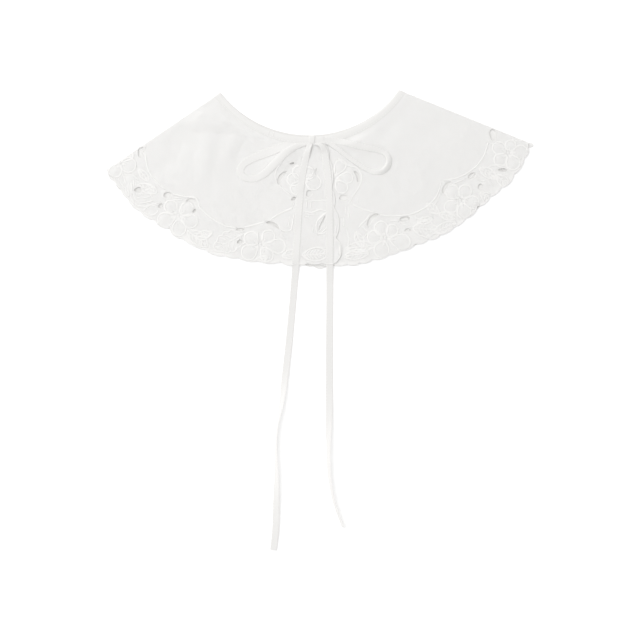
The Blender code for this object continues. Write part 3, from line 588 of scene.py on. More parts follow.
def normed(ways):
    """The same directions, each one long."""
    return ways / np.maximum(np.linalg.norm(ways, axis=1), 1e-9)[:, None]


def left_of(ways):
    """The directions to the left of flat ones."""
    return np.stack([-ways[:, 1], ways[:, 0]], axis=-1)


def run_of(points):
    """How far along a line each of its points lies."""
    return np.concatenate([[0], np.cumsum(np.linalg.norm(np.diff(points, axis=0), axis=1))])


def read_at(places, run, values):
    """Values along a line, at other places along it."""
    return np.stack([np.interp(places, run, column) for column in values.T], axis=-1)


def turned(x, y, turn_deg):
    """Places as a motif with that turn sees them."""
    turn = math.radians(turn_deg)
    return x * math.cos(turn) + y * math.sin(turn), y * math.cos(turn) - x * math.sin(turn)


def placed(points, x, y, turn_deg):
    """Points of a motif, turned and moved to their place."""
    turn = math.radians(turn_deg)
    u, v = points[:, 0], points[:, 1]
    return np.stack(
        [x + u * math.cos(turn) - v * math.sin(turn), y + u * math.sin(turn) + v * math.cos(turn)], axis=-1
    )


def curve_through(points):
    """A smooth curve through the points, with SPAN steps between each two. Further columns are carried along."""
    points = np.asarray(points, float)
    gap = np.linalg.norm(np.diff(points[:, :2], axis=0), axis=1)[:, None]
    slope = np.diff(points, axis=0) / gap
    tangent = np.vstack([slope[:1], slope[-1:]])
    if len(points) > 2:
        middle = (slope[:-1] * gap[1:] + slope[1:] * gap[:-1]) / (gap[:-1] + gap[1:])
        tangent = np.vstack([slope[:1], middle, slope[-1:]])
    share = np.linspace(0, 1, SPAN, endpoint=False)[None, :, None]
    start, end = points[:-1, None], points[1:, None]
    out, into = (tangent[:-1] * gap)[:, None], (tangent[1:] * gap)[:, None]
    fine = (
        start * (2 * share**3 - 3 * share**2 + 1)
        + out * (share**3 - 2 * share**2 + share)
        + end * (3 * share**2 - 2 * share**3)
        + into * (share**3 - share**2)
    )
    return np.vstack([fine.reshape(-1, points.shape[1]), points[-1]])


def evenly(points, step):
    """The same line with its points evenly spaced."""
    run = run_of(points[:, :2])
    return read_at(np.linspace(0, run[-1], max(2, round(run[-1] / step)) + 1), run, points)


def smooth_curve(points, step):
    """Evenly spaced points on a smooth curve through the given ones."""
    return evenly(curve_through(points), step)


def smooth_outline(loop, step, corner_deg=30.0):
    """A closed outline on smooth curves between its sharp corners."""
    before, after = loop - np.roll(loop, 1, axis=0), np.roll(loop, -1, axis=0) - loop
    cross = before[:, 0] * after[:, 1] - before[:, 1] * after[:, 0]
    turn = np.degrees(np.abs(np.arctan2(cross, (before * after).sum(axis=1))))
    corners = np.flatnonzero(turn > corner_deg)
    if not len(corners):
        wrapped = np.vstack([loop[-2:], loop, loop[:3]])
        return evenly(curve_through(wrapped)[2 * SPAN : -2 * SPAN], step)[:-1]
    loop = np.roll(loop, -corners[0], axis=0)
    stops = [*(corners - corners[0]), len(loop)]
    closed = np.vstack([loop, loop[:1]])
    return np.vstack([smooth_curve(closed[a : b + 1], step)[:-1] for a, b in zip(stops, stops[1:])])


def inside(polygon, points):
    """Which points lie inside a polygon."""
    x, y = points[:, 0], points[:, 1]
    found = np.zeros(len(points), bool)
    for (ax, ay), (bx, by) in zip(polygon, np.roll(polygon, -1, axis=0)):
        if ay != by:
            found ^= ((ay > y) != (by > y)) & (x < ax + (y - ay) * (bx - ax) / (by - ay))
    return found


def distance_from(loop, points):
    """How far points lie from the points of a dense line."""
    tree = KDTree(len(loop))
    for i, (x, y) in enumerate(loop):
        tree.insert((x, y, 0), i)
    tree.balance()
    return np.array([tree.find((x, y, 0))[2] for x, y in points])


def node_loops(name):
    """The outline and then the holes of a cloth solid seen from above, in millimetres."""
    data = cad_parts[name].data
    points = np.empty(len(data.vertices) * 3)
    data.vertices.foreach_get("co", points)
    faces = np.empty(len(data.polygons) * 3, int)
    data.polygons.foreach_get("vertices", faces)
    points, index = np.unique(np.round(points.reshape(-1, 3) / MM, 3), axis=0, return_inverse=True)
    faces = index.reshape(-1)[faces.reshape(-1, 3)]
    a, b, c = (points[faces[:, i]] for i in range(3))
    normal = np.cross(b - a, c - a)
    up = faces[normal[:, 2] > 0.1 * np.linalg.norm(normal, axis=1)]
    edges = {(f[i], f[(i + 1) % 3]) for f in up.tolist() for i in range(3)}
    following = {a: b for a, b in edges if (b, a) not in edges}
    loops = []
    while following:
        start, here = following.popitem()
        loop = [start]
        while here != start:
            loop.append(here)
            here = following.pop(here)
        loops.append(points[loop, :2])
    return sorted(loops, key=lambda loop: -np.ptp(loop[:, 0]))


# Heights


def swell(folds, x, y):
    """The height of soft ridges and troughs."""
    total = 0.0
    for cx, cy, along, across, turn_deg, rise in folds:
        u, v = turned(x - cx, y - cy, turn_deg)
        total = total + rise * np.exp(-((u / along) ** 2) - (v / across) ** 2)
    return total


def past_binding(x, y, width):
    """0 under the fronts' binding, rising to 1 that far past it."""
    return soft_step(neck_depth(FRONT_NECK, x, y), BINDING_WIDTH, BINDING_WIDTH + width)


def from_hem_centre(x, y):
    return np.hypot(x - HEM_CENTRE[0], y - HEM_CENTRE[1])


def changed_over(first, second, x, edges):
    """The first value to the left of the edges, the second to the right, and a smooth change between them."""
    share = soft_step(x, *edges)
    return first * (1.0 - share) + second * share


def front_under(folds, fold, x, y):
    """Height of a front's underside on the back. It lies higher at the neck, on the back's binding, and where
    its soft folds lift it, which calm down along the shoulder fold and the neck."""
    calm = past_binding(x, y, NECK_CALM)
    lifted = np.maximum(0.0, swell(folds, x, y)) * soft_step(fold_depth(fold, x, y), 0.0, FOLD_CALM) * calm
    return LAYER + NECK_RISE * (1.0 - calm) + lifted


def right_under(x, y):
    return front_under(FOLDS_RIGHT, FOLD_RIGHT, x, y)


def left_under(x, y):
    """Height of the left front's underside: on the back, and at the centre on the right front."""
    lapped = right_under(x, y) + LAYER - LAP_DROP + BINDING_EXTRA * (1.0 - past_binding(x, y, 3.0))
    return changed_over(front_under(FOLDS_LEFT, FOLD_LEFT, x, y), lapped, x, LAP_RAMP)


def back_rise(x, y):
    """The back lies up against the fronts where they are lifted off it, but for its rim."""
    left = BACK_FOLLOWS * (left_under(x, y) - LAYER) + swell(WRINKLES_LEFT, x, y)
    right = BACK_FOLLOWS * (right_under(x, y) - LAYER) + swell(WRINKLES_RIGHT, x, y)
    calm = 1.0 - soft_step(from_hem_centre(x, y), *BACK_RIM)
    calm = calm * soft_step(neck_depth(BACK_NECK, x, y), BINDING_WIDTH + 2.0, BINDING_WIDTH + NECK_CALM)
    for fold in (FOLD_LEFT, FOLD_RIGHT):
        calm = calm * soft_step(fold_depth(fold, x, y), ROLL_REACH + 2.0, ROLL_REACH + 10.0)
    return np.maximum(0.0, changed_over(left, right, x, LAP_BEHIND)) * calm


def cloth_top(x, y):
    """Where a tape's underside lies: in the top of the fronts' cloth, and past the hem on the surface."""
    left, right = panel_of("front_left"), panel_of("front_right")
    on_left = inside(left.outline, np.stack([x.ravel(), y.ravel()], axis=-1)).reshape(x.shape)
    cloth = np.where(on_left, left.middle(x, y), right.middle(x, y))
    half = bpy.context.scene.collar_cloth.thickness / MM / 2
    share = soft_step(from_hem_centre(x, y), *HEM_DROP)
    return (cloth + half + REST_ON_CLOTH) * (1.0 - share) + REST_ON_TABLE * share


def resting(x, y):
    """The highest cloth close to each point, which is what a tape lies on."""
    around = ((0, 0), (1, 0), (-1, 0), (0, 1), (0, -1))
    return np.max([cloth_top(x + dx * REST_REACH, y + dy * REST_REACH) for dx, dy in around], axis=0)


def unevenness(x, y, wrinkles, seed):
    """Creases of worn cotton, and the pucker that dense stitching draws into the worked band."""
    total = swell(wrinkles, x, y)
    for i, (size_x, size_y, turn_deg, height) in enumerate(CREASES):
        u, v = turned(x, y, turn_deg)
        value = soft_noise(u * size_y / size_x, v, size_y, seed + i)
        total = total + height * (1.0 - 2.0 * np.abs(value))
    worked = soft_step(from_hem_centre(x, y), PUCKER["from_radius"], PUCKER["to_radius"])
    total = total + worked * PUCKER["height"] * soft_noise(x, y, PUCKER["size"], seed + 9)
    return total * bpy.context.scene.collar_cloth.crease


def domes(x, y, flowers):
    """The petals stand up a little where their outlines draw the cloth in."""
    total = 0.0
    for fx, fy, petals in flowers:
        for petal_deg, long, wide in petals:
            u, v = turned(x - fx, y - fy, petal_deg)
            share = ((u - long * 0.6) / (long * 0.42)) ** 2 + (v / (wide * 0.5)) ** 2
            total = total + PETAL_DOME * np.clip(1.0 - share, 0.0, 1.0)
    return total


# The three panels, and how their cloth lies


class Panel:
    """One stretch of the collar's cloth: its shape when flat, and how it lies."""

    def __init__(self, node, fold, under, shown, wrinkles, flowers, leaves, lines, seed):
        self.fold, self.under, self.shown, self.seed = fold, under, shown, seed
        self.wrinkles, self.flowers, self.leaves, self.lines = wrinkles, flowers, leaves, lines
        self.neck = FRONT_NECK if fold else BACK_NECK
        loops = node_loops(node)
        self.outline = smooth_outline(loops[0], OUTLINE_STEP)
        if fold:
            self.outline = past_fold(self.outline, fold)
        self.holes = [smooth_outline(loop, HOLE_STEP, HOLE_CORNER_DEG) for loop in loops[1:]]

    def middle(self, x, y):
        """Height of the cloth's middle."""
        if not self.fold:
            return BACK_MIDDLE + back_rise(x, y)
        detail = unevenness(x, y, self.wrinkles, self.seed) + domes(x, y, self.flowers)
        if self.shown:
            detail = detail * soft_step(x, *self.shown)
        calm = soft_step(neck_depth(self.neck, x, y), *CREASED_FROM_NECK)
        calm = calm * soft_step(fold_depth(self.fold, x, y), *CREASED_FROM_FOLD)
        return self.under(x, y) + FRONT_MIDDLE + np.maximum(detail, DEEPEST) * calm

    def place(self, x, y, offset):
        """Points of the flat cloth, at an offset from its middle, where they lie in the collar."""
        if not self.fold:
            return np.stack([x, y, self.middle(x, y) + offset], axis=-1)
        past = np.maximum(0.0, ROLL_START - fold_depth(self.fold, x, y))
        turn = np.minimum(past / ROLL_CLOTH, 1.0) * math.pi
        ix, iy = fold_inward(self.fold)
        row_x, row_y = x + ix * past, y + iy * past
        top = self.middle(row_x, row_y)
        half, centre = (top - BACK_MIDDLE) / 2, (top + BACK_MIDDLE) / 2
        run = np.clip((past - ROLL_CLOTH) / (ROLL_REACH - ROLL_CLOTH), 0.0, 1.0) * UNDER_RUN
        out, up = np.sin(turn) * half, np.cos(turn) * ROLL_RADIUS
        size = np.hypot(out, up)
        inward = run - ROLL_RADIUS * np.sin(turn) - out / size * offset
        z = centre + half * np.cos(turn) + up / size * offset
        return np.stack([row_x + ix * inward, row_y + iy * inward, z], axis=-1)


def past_fold(outline, fold):
    """The outline carried past its fold edge, by the cloth that turns round the fold."""
    depth = fold_depth(fold, outline[:, 0], outline[:, 1])
    on_fold = depth < ON_FOLD
    start = np.flatnonzero(on_fold & ~np.roll(on_fold, 1))[0]
    outline, on_fold = np.roll(outline, -start, axis=0), np.roll(on_fold, -start)
    count = int(np.argmin(on_fold))
    edge, rest = outline[:count], outline[count:]
    moved = edge - np.array(fold_inward(fold)) * (ROLL_REACH - ROLL_START)
    points = np.vstack([edge[:1], moved, edge[-1:], rest])
    depth = fold_depth(fold, points[:, 0], points[:, 1])
    fine = []
    for i, point in enumerate(points):
        j = (i + 1) % len(points)
        steps = 1
        if min(depth[i], depth[j]) < ROLL_START:
            steps = max(1, math.ceil(abs(depth[j] - depth[i]) / ROLL_ROW))
        fine.extend(point + (points[j] - point) * step / steps for step in range(steps))
    return np.array(fine)


# Meshes


def add_mesh(name, points, faces, finish, smooth_deg=60.0, uv=None, fix_normals=True):
    """A named object from points in millimetres, shaded smooth but for its sharp edges."""
    data = bpy.data.meshes.new(name)
    data.from_pydata((np.asarray(points) * MM).tolist(), [], [list(face) for face in faces])
    data.materials.append(finish)
    if uv is not None:
        corner = np.empty(len(data.loops), int)
        data.loops.foreach_get("vertex_index", corner)
        layer = data.uv_layers.new(name="thread")
        layer.data.foreach_set("uv", np.asarray(uv, np.float32)[corner].ravel())
    if fix_normals:
        mesh = bmesh.new()
        mesh.from_mesh(data)
        bmesh.ops.recalc_face_normals(mesh, faces=mesh.faces[:])
        mesh.to_mesh(data)
        mesh.free()
    data.shade_smooth()
    data.set_sharp_from_angle(angle=math.radians(smooth_deg))
    obj = bpy.data.objects.new(name, data)
    bpy.context.scene.collection.objects.link(obj)
    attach(obj, "root")
    return obj


def grid_over(outline, holes, step, fold):
    """Inner points of a cloth mesh: a staggered grid, and rows along the fold where the cloth turns."""
    low, high = outline.min(axis=0), outline.max(axis=0)
    rows, columns = np.arange(low[1], high[1], step * 0.866), np.arange(low[0], high[0], step)
    y, x = np.meshgrid(rows, columns, indexing="ij")
    x = x + (np.arange(len(rows)) % 2)[:, None] * step / 2
    points = np.stack([x.ravel(), y.ravel()], axis=-1)
    if fold:
        deepest = ROLL_START + 2.2
        points = points[fold_depth(fold, points[:, 0], points[:, 1]) > deepest + step * 0.6]
        (ax, ay), (bx, by) = fold["neck"], fold["hem"]
        along = np.array([bx - ax, by - ay]) / math.hypot(bx - ax, by - ay)
        depths = [*np.arange(ROLL_START - ROLL_REACH + ROLL_ROW, ROLL_START + 0.1, ROLL_ROW), 1.7, 2.4, deepest]
        places = np.arange(-10.0, 150.0, 1.4)
        strip = [
            np.array([ax, ay]) + np.array(fold_inward(fold)) * depth + places[:, None] * along for depth in depths
        ]
        points = np.vstack([points, *strip])
    points = points[inside(outline, points)]
    for hole in holes:
        points = points[~inside(hole, points)]
    rim = np.vstack([outline, *holes])
    near = 0.2 if fold else 0.0
    depth = fold_depth(fold, points[:, 0], points[:, 1]) if fold else np.full(len(points), 99.0)
    margin = np.where(depth < ROLL_START + 2.3, near, step * 0.5)
    return points[distance_from(rim, points) > margin]


def cloth_shell(name, panel, step, thickness, finish):
    """The panel's cloth as a thin closed shell with its holes cut through."""
    inner = grid_over(panel.outline, panel.holes, step, panel.fold)
    points, edges = [tuple(p) for p in inner], []
    for loop in (panel.outline, *panel.holes):
        first = len(points)
        points.extend(tuple(p) for p in loop)
        edges.extend((first + i, first + (i + 1) % len(loop)) for i in range(len(loop)))
    flat, _, faces, *_ = delaunay_2d_cdt([Vector(p) for p in points], edges, [], 0, 1e-6)
    flat, faces = np.array([tuple(p) for p in flat]), np.array(faces)
    centres = flat[faces].mean(axis=1)
    kept = inside(panel.outline, centres)
    for hole in panel.holes:
        kept &= ~inside(hole, centres)
    faces = faces[kept]
    used, index = np.unique(faces, return_inverse=True)
    faces, flat = index.reshape(-1, 3), flat[used]
    a, b, c = (flat[faces[:, i]] for i in range(3))
    area = (b - a)[:, 0] * (c - a)[:, 1] - (b - a)[:, 1] * (c - a)[:, 0]
    faces[area < 0] = faces[area < 0][:, ::-1]
    count = len(flat)
    sides = [panel.place(flat[:, 0], flat[:, 1], side * thickness / 2) for side in (1, -1)]
    sides_of = {(f[i], f[(i + 1) % 3]) for f in faces.tolist() for i in range(3)}
    rim = [(b, a, a + count, b + count) for a, b in sides_of if (b, a) not in sides_of]
    all_faces = [*faces.tolist(), *(faces[:, ::-1] + count).tolist(), *rim]
    return add_mesh(name, np.vstack(sides), all_faces, finish, fix_normals=False)


# Sections of the raised lines, on the cloth and round its edges, and how a line thins out towards its ends
TOP_SECTION = ((-0.5, -0.1), (-0.36, 0.78), (0.0, 1.0), (0.36, 0.78), (0.5, -0.1), (0.0, -0.6))
EDGE_SECTION = (
    (-0.5, 0.0), (-0.34, 0.85), (0.0, 1.1), (0.34, 0.85), (0.5, 0.0), (0.34, -0.85), (0.0, -1.1), (-0.34, -0.85)
)
TAPER = np.array([0.45, 0.85, 1.0])


def tube_faces(count, sides, first=0, closed=False):
    """Faces of a tube through that many rings of points, capped unless it closes on itself."""
    index = first + np.arange(count * sides).reshape(count, sides)
    start, end = (index, np.roll(index, -1, axis=0)) if closed else (index[:-1], index[1:])
    quads = np.stack([start, np.roll(start, -1, axis=1), np.roll(end, -1, axis=1), end], axis=-1)
    caps = [] if closed else [index[0].tolist(), index[-1][::-1].tolist()]
    return quads.reshape(-1, 4).tolist() + caps


def tube(name, rings, finish, smooth_deg=60.0, closed=False):
    """A tube through rings with equal numbers of points."""
    rings = np.array(rings)
    faces = tube_faces(*rings.shape[:2], closed=closed)
    return add_mesh(name, rings.reshape(-1, 3), faces, finish, smooth_deg)


def thread_cords(name, strokes, place, base, finish):
    """Raised embroidery lines on the cloth. Each stroke is (points, width, height, section, closed)."""
    flat, faces, uvs = [], [], []
    first = 0
    for points, width, height, section, closed in strokes:
        if closed:
            ahead, behind = np.roll(points, -1, axis=0), np.roll(points, 1, axis=0)
            taper = np.ones(len(points))
        else:
            ahead, behind = np.vstack([points[1:], points[-1:]]), np.vstack([points[:1], points[:-1]])
            from_end = np.minimum(np.arange(len(points)), np.arange(len(points))[::-1])
            taper = TAPER[np.minimum(from_end, len(TAPER) - 1)]
        across = left_of(normed(ahead - behind))
        v, h = np.array(section).T
        ring = points[:, None] + across[:, None] * (v[None, :, None] * width * taper[:, None, None])
        level = np.where(section is EDGE_SECTION, 0.0, base) + h[None] * height * taper[:, None]
        flat.append(np.concatenate([ring, level[:, :, None]], axis=-1).reshape(-1, 3))
        uv = np.broadcast_arrays(run_of(points)[:, None] * MM, v[None] * width * MM)
        uvs.append(np.stack(uv, axis=-1).reshape(-1, 2))
        faces.extend(tube_faces(len(points), len(section), first, closed))
        first += len(points) * len(section)
    return add_mesh(name, place(*np.vstack(flat).T), faces, finish, 180.0, np.vstack(uvs))


def stitch_dashes(name, centres, along, across, up, length, width, height, finish):
    """One mesh of separate stitches, each a small bar of thread with sunken ends."""
    ring = np.array([(-0.5, 0.0), (0.0, 1.0), (0.5, 0.0), (0.0, -0.7)])
    shape = [(-0.5, 0.0, -0.6)]
    for place, size in ((-0.34, 0.8), (0.0, 1.0), (0.34, 0.8)):
        shape.extend((place, a * size, h * size) for a, h in ring)
    shape.append((0.5, 0.0, -0.6))
    shape = np.array(shape)
    faces = []
    for i in range(4):
        j = (i + 1) % 4
        faces.append((0, 1 + j, 1 + i, 1 + i))
        for k in (1, 5):
            faces.append((k + i, k + j, k + 4 + j, k + 4 + i))
        faces.append((9 + i, 9 + j, 13, 13))
    points = (
        centres[:, None]
        + along[:, None] * (shape[:, 0] * length)[None, :, None]
        + across[:, None] * (shape[:, 1] * width)[None, :, None]
        + up[:, None] * (shape[:, 2] * height)[None, :, None]
    )
    faces = [tuple(dict.fromkeys(face)) for face in faces]
    everything = [tuple(v + len(shape) * n for v in face) for n in range(len(centres)) for face in faces]
    return add_mesh(name, points.reshape(-1, 3), everything, finish, 180.0)


# Materials


def add_node(tree, kind, inputs=(), **settings):
    """Adds a shader node with its settings, and sets or links its inputs."""
    node = tree.nodes.new(kind)
    for key, value in settings.items():
        setattr(node, key, value)
    for key, value in dict(inputs).items():
        if isinstance(value, bpy.types.NodeSocket):
            tree.links.new(value, node.inputs[key])
        else:
            node.inputs[key].default_value = value
    return node


def start_material(name, base, roughness, sheen, through=0.0):
    """A Principled material. through is how much light passes into the cloth and out again."""
    made = bpy.data.materials.new(name)
    made.use_nodes = True
    shader = made.node_tree.nodes["Principled BSDF"]
    shader.inputs["Base Color"].default_value = (*base, 1.0)
    shader.inputs["Roughness"].default_value = roughness
    shader.inputs["Sheen Weight"].default_value = sheen
    shader.inputs["Sheen Roughness"].default_value = 0.5
    shader.inputs["Specular IOR Level"].default_value = 0.25
    shader.inputs["Subsurface Weight"].default_value = through
    shader.inputs["Subsurface Radius"].default_value = (1.0, 1.0, 1.0)
    shader.inputs["Subsurface Scale"].default_value = 0.0007
    return made, made.node_tree, shader


def wave_scale(pitch_mm):
    """The Wave texture's scale for bands that far apart."""
    return math.pi / 10 / (pitch_mm * MM)


def weave_height(tree, place, pitch_mm):
    """Warp and weft threads that cross in a plain weave."""
    threads = [
        add_node(
            tree, "ShaderNodeTexWave",
            {"Vector": place, "Scale": wave_scale(pitch), "Distortion": 0.35, "Detail": 1.0, "Detail Scale": 0.4},
            bands_direction=way,
        ).outputs["Fac"]
        for way, pitch in (("X", pitch_mm), ("Y", pitch_mm * 1.08))
    ]
    return add_node(tree, "ShaderNodeMath", enumerate(threads), operation="MAXIMUM")


def mottled(tree, place, size_mm, base, spread):
    """The base colour, a touch lighter and darker in soft patches."""
    patches = add_node(
        tree, "ShaderNodeTexNoise", {"Vector": place, "Scale": 1 / (size_mm * MM), "Detail": 3.0, "Roughness": 0.6}
    )
    darker = tuple(c * (1 - spread) for c in base)
    lighter = tuple(min(1.0, c * (1 + spread)) for c in base)
    return add_node(
        tree, "ShaderNodeMix",
        {"Factor": patches.outputs["Fac"], "A": (*darker, 1.0), "B": (*lighter, 1.0)},
        data_type="RGBA",
    )


def cotton_lawn(base):
    """Fine plain-woven cotton: soft, matt and slightly uneven. Its threads lie about 0.35 mm apart, and are
    drawn coarser here, because finer ones would blur away."""
    made, tree, shader = start_material("cotton_lawn", base, 0.92, 0.08, 0.7)
    place = add_node(tree, "ShaderNodeTexCoord").outputs["Object"]
    weave = weave_height(tree, place, 0.62)
    slub = add_node(
        tree, "ShaderNodeTexNoise",
        {"Vector": add_node(tree, "ShaderNodeMapping", {"Vector": place, "Scale": (0.08, 1.0, 1.0)}).outputs[0],
         "Scale": 900.0, "Detail": 2.0},
    )
    weave_bump = add_node(
        tree, "ShaderNodeBump", {"Height": weave.outputs[0], "Strength": 0.35, "Distance": 0.00006}
    )
    slub_bump = add_node(
        tree, "ShaderNodeBump",
        {"Height": slub.outputs["Fac"], "Strength": 0.3, "Distance": 0.00008, "Normal": weave_bump.outputs[0]},
    )
    tone = mottled(tree, place, 14.0, base, 0.012)
    tree.links.new(tone.outputs["Result"], shader.inputs["Base Color"])
    tree.links.new(slub_bump.outputs[0], shader.inputs["Normal"])
    return made


def folded_cotton(name, base, roughness, pitch_mm):
    """The same cotton folded double and pressed, as in the binding and the tapes: a touch smoother, with the
    threads on the bias."""
    made, tree, shader = start_material(name, base, roughness, 0.08)
    place = add_node(tree, "ShaderNodeTexCoord").outputs["Object"]
    bias = add_node(tree, "ShaderNodeMapping", {"Vector": place, "Rotation": (0, 0, math.radians(45))})
    weave = weave_height(tree, bias.outputs[0], pitch_mm)
    bump = add_node(tree, "ShaderNodeBump", {"Height": weave.outputs[0], "Strength": 0.3, "Distance": 0.00005})
    tone = mottled(tree, place, 9.0, base, 0.01)
    tree.links.new(tone.outputs["Result"], shader.inputs["Base Color"])
    tree.links.new(bump.outputs[0], shader.inputs["Normal"])
    return made


def satin_thread(base):
    """Mercerised cotton thread laid side by side over the lines, with a low gloss. Its colour is lighter than the
    cloth's, partly as the thread's own whiteness and partly as painted highlight for the light that the raised
    lines catch. The turns of thread lie across each line, about 0.3 mm apart."""
    made, tree, shader = start_material("satin_thread", base, 0.6, 0.05)
    laid = add_node(tree, "ShaderNodeUVMap", uv_map="thread").outputs["UV"]
    lean = add_node(tree, "ShaderNodeMapping", {"Vector": laid, "Rotation": (0, 0, math.radians(14))})
    turns = add_node(
        tree, "ShaderNodeTexWave", {"Vector": lean.outputs[0], "Scale": wave_scale(0.34), "Distortion": 0.5},
        bands_direction="X",
    )
    bump = add_node(tree, "ShaderNodeBump", {"Height": turns.outputs["Fac"], "Strength": 0.35, "Distance": 0.00003})
    tree.links.new(bump.outputs[0], shader.inputs["Normal"])
    return made


def sewing_thread(base):
    """Fine cotton sewing thread of the machine stitches, twisted, so with a slight broken gloss. It takes the
    embroidery thread's colour, lighter than the tape and binding, partly as the thread's own and partly as painted
    highlight on the stitched rows.
    """
    made, tree, shader = start_material("sewing_thread", base, 0.65, 0.05)
    place = add_node(tree, "ShaderNodeTexCoord").outputs["Object"]
    twist = add_node(tree, "ShaderNodeTexNoise", {"Vector": place, "Scale": 3200.0, "Detail": 1.0})
    bump = add_node(tree, "ShaderNodeBump", {"Height": twist.outputs["Fac"], "Strength": 0.3, "Distance": 0.00004})
    tree.links.new(bump.outputs[0], shader.inputs["Normal"])
    return made


def pale_floor(base, glow):
    """Plain matt paper on a light table: lit from beneath too, so that shadows on it stay faint."""
    made, tree, shader = start_material("pale_floor", base, 0.95, 0.0)
    shader.inputs["Emission Color"].default_value = (1.0, 1.0, 1.0, 1.0)
    shader.inputs["Emission Strength"].default_value = glow
    place = add_node(tree, "ShaderNodeTexCoord").outputs["Object"]
    tooth = add_node(tree, "ShaderNodeTexNoise", {"Vector": place, "Scale": 900.0})
    bump = add_node(tree, "ShaderNodeBump", {"Height": tooth.outputs["Fac"], "Strength": 0.05, "Distance": 0.0001})
    tree.links.new(bump.outputs[0], shader.inputs["Normal"])
    return made


def shared(name, make, base):
    """A material made once and used by every piece of its kind."""
    return bpy.data.materials.get(name) or make(tuple(base))


def tape_cotton(base):
    """Double-folded cotton tape, stitched along both edges."""
    return folded_cotton("tape_cotton", base, 0.85, 0.5)


def binding_cotton(base):
    """Bias binding at the neck, pressed flat."""
    return folded_cotton("binding_cotton", base, 0.88, 0.5)


def thread_of():
    # The stitches share the embroidery thread's colour: partly their own, partly painted highlight on the stitched
    # rows
    return shared("sewing_thread", sewing_thread, bpy.context.scene.collar_embroidery.thread_and_highlight_colour)


# Motifs of the embroidery


def petal_line(long, wide):
    """A petal's outline in its own frame: a round end, and straight sides that run to the flower's middle."""
    radius = wide / 2
    middle = long - radius
    reach = math.pi - math.acos(min(0.95, radius / (middle - PETAL_START)))
    angle = np.linspace(-reach, reach, 24)
    round_end = np.stack([middle + radius * np.cos(angle), radius * np.sin(angle)], axis=-1)
    near = np.array([PETAL_START, 0.0])
    return np.vstack([near + (round_end[0] - near) * 0.3, round_end, near + (round_end[-1] - near) * 0.3])


def stroke(line, place, step, width, kind):
    """A line of a motif where the motif lies, by its x, y and turn, with the line's width and height."""
    return smooth_curve(placed(np.array(line), *place), step), width, LINE_HEIGHT[kind]


def flower_strokes(x, y, petals):
    """Petals with three rays each, round a small ring."""
    turn = np.linspace(0, 5.9, 9)
    strokes = []
    for petal_deg, long, wide in petals:
        strokes.append(stroke(petal_line(long, wide), (x, y, petal_deg), 0.9, 1.4, "petal"))
        for ray_deg, reach in ((-13, 0.32), (0, 0.44), (13, 0.32)):
            ray = [(PETAL_START + 0.4, 0.0), (reach * long * 0.7, 0.1), (reach * long, 0.0)]
            strokes.append(stroke(ray, (x, y, petal_deg + ray_deg), 0.8, 0.95, "vein"))
    strokes.append(stroke(1.1 * np.stack([np.cos(turn), np.sin(turn)], axis=-1), (x, y, 0), 0.8, 1.0, "line"))
    return strokes


def leaf_strokes(x, y, turn_deg, long, wide, bend_deg, veins, lobes):
    """A leaf's two edges, and where it has veins its rib and its pairs of veins."""
    place = (x, y, turn_deg)
    share = np.linspace(0, 1, 16 + 5 * lobes)
    half = wide / 2 * np.sin(math.pi * share) ** 0.8
    if lobes:
        half = half * (0.84 + 0.22 * np.abs(np.sin(math.pi * lobes * share)))
    sag = long * math.radians(bend_deg) / 2 * share * (1 - share)
    strokes = []
    for side in (1, -1):
        strokes.append(stroke(np.stack([share * long, sag + side * half], axis=-1), place, 0.9, 1.35, "line"))
    if veins:
        strokes.append(stroke(np.stack([share * long * 0.94, sag], axis=-1), place, 1.0, 1.1, "vein"))
    for vein in range(veins):
        root = (vein + 0.6) / (veins + 1)
        tip = min(0.97, root + 0.5 / (veins + 1) + 0.1)
        for side in (1, -1):
            at_root, at_tip = np.interp(root, share, sag), np.interp(tip, share, sag + side * half * 0.84)
            bow = ((root + tip) / 2 * long, (at_root + at_tip) / 2 + side * wide * 0.03)
            line = [(root * long, at_root), bow, (tip * long, at_tip)]
            strokes.append(stroke(line, place, 1.0, 0.95, "vein"))
    return strokes


def clipped(panel, strokes):
    """The strokes without what would run over the edge, under the binding or into a cut hole."""
    everything = np.vstack([points for points, *_ in strokes])
    free = inside(panel.outline, everything)
    free &= distance_from(panel.outline, everything) > EDGE_MARGIN
    free &= distance_from(np.vstack(panel.holes), everything) > HOLE_MARGIN
    free &= neck_depth(panel.neck, *everything.T) > BINDING_WIDTH + NECK_MARGIN
    for hole in panel.holes:
        free &= ~inside(hole, everything)
    kept = []
    first = 0
    for points, width, height in strokes:
        flags = np.concatenate([[False], free[first : first + len(points)], [False]])
        first += len(points)
        for start, end in np.flatnonzero(flags[1:] != flags[:-1]).reshape(-1, 2):
            if end - start >= FEWEST_POINTS:
                kept.append((points[start:end], width, height, TOP_SECTION, False))
    return kept


def moved_in(loop, distance_in):
    """A closed line moved to its left by that distance."""
    return loop + left_of(normed(np.roll(loop, -1, axis=0) - np.roll(loop, 1, axis=0))) * distance_in


def hem_line(panel, inset):
    """The worked edge, from one end of the neck or of a fold to the other."""
    line = moved_in(panel.outline, inset)
    free = neck_depth(panel.neck, *panel.outline.T) > BINDING_WIDTH + 0.9
    if panel.fold:
        free &= fold_depth(panel.fold, *panel.outline.T) > ROLL_START - ROLL_REACH + 0.05
    start = np.flatnonzero(free & ~np.roll(free, 1))[0]
    line, free = np.roll(line, -start, axis=0), np.roll(free, -start)
    return line[: int(np.argmin(free))]


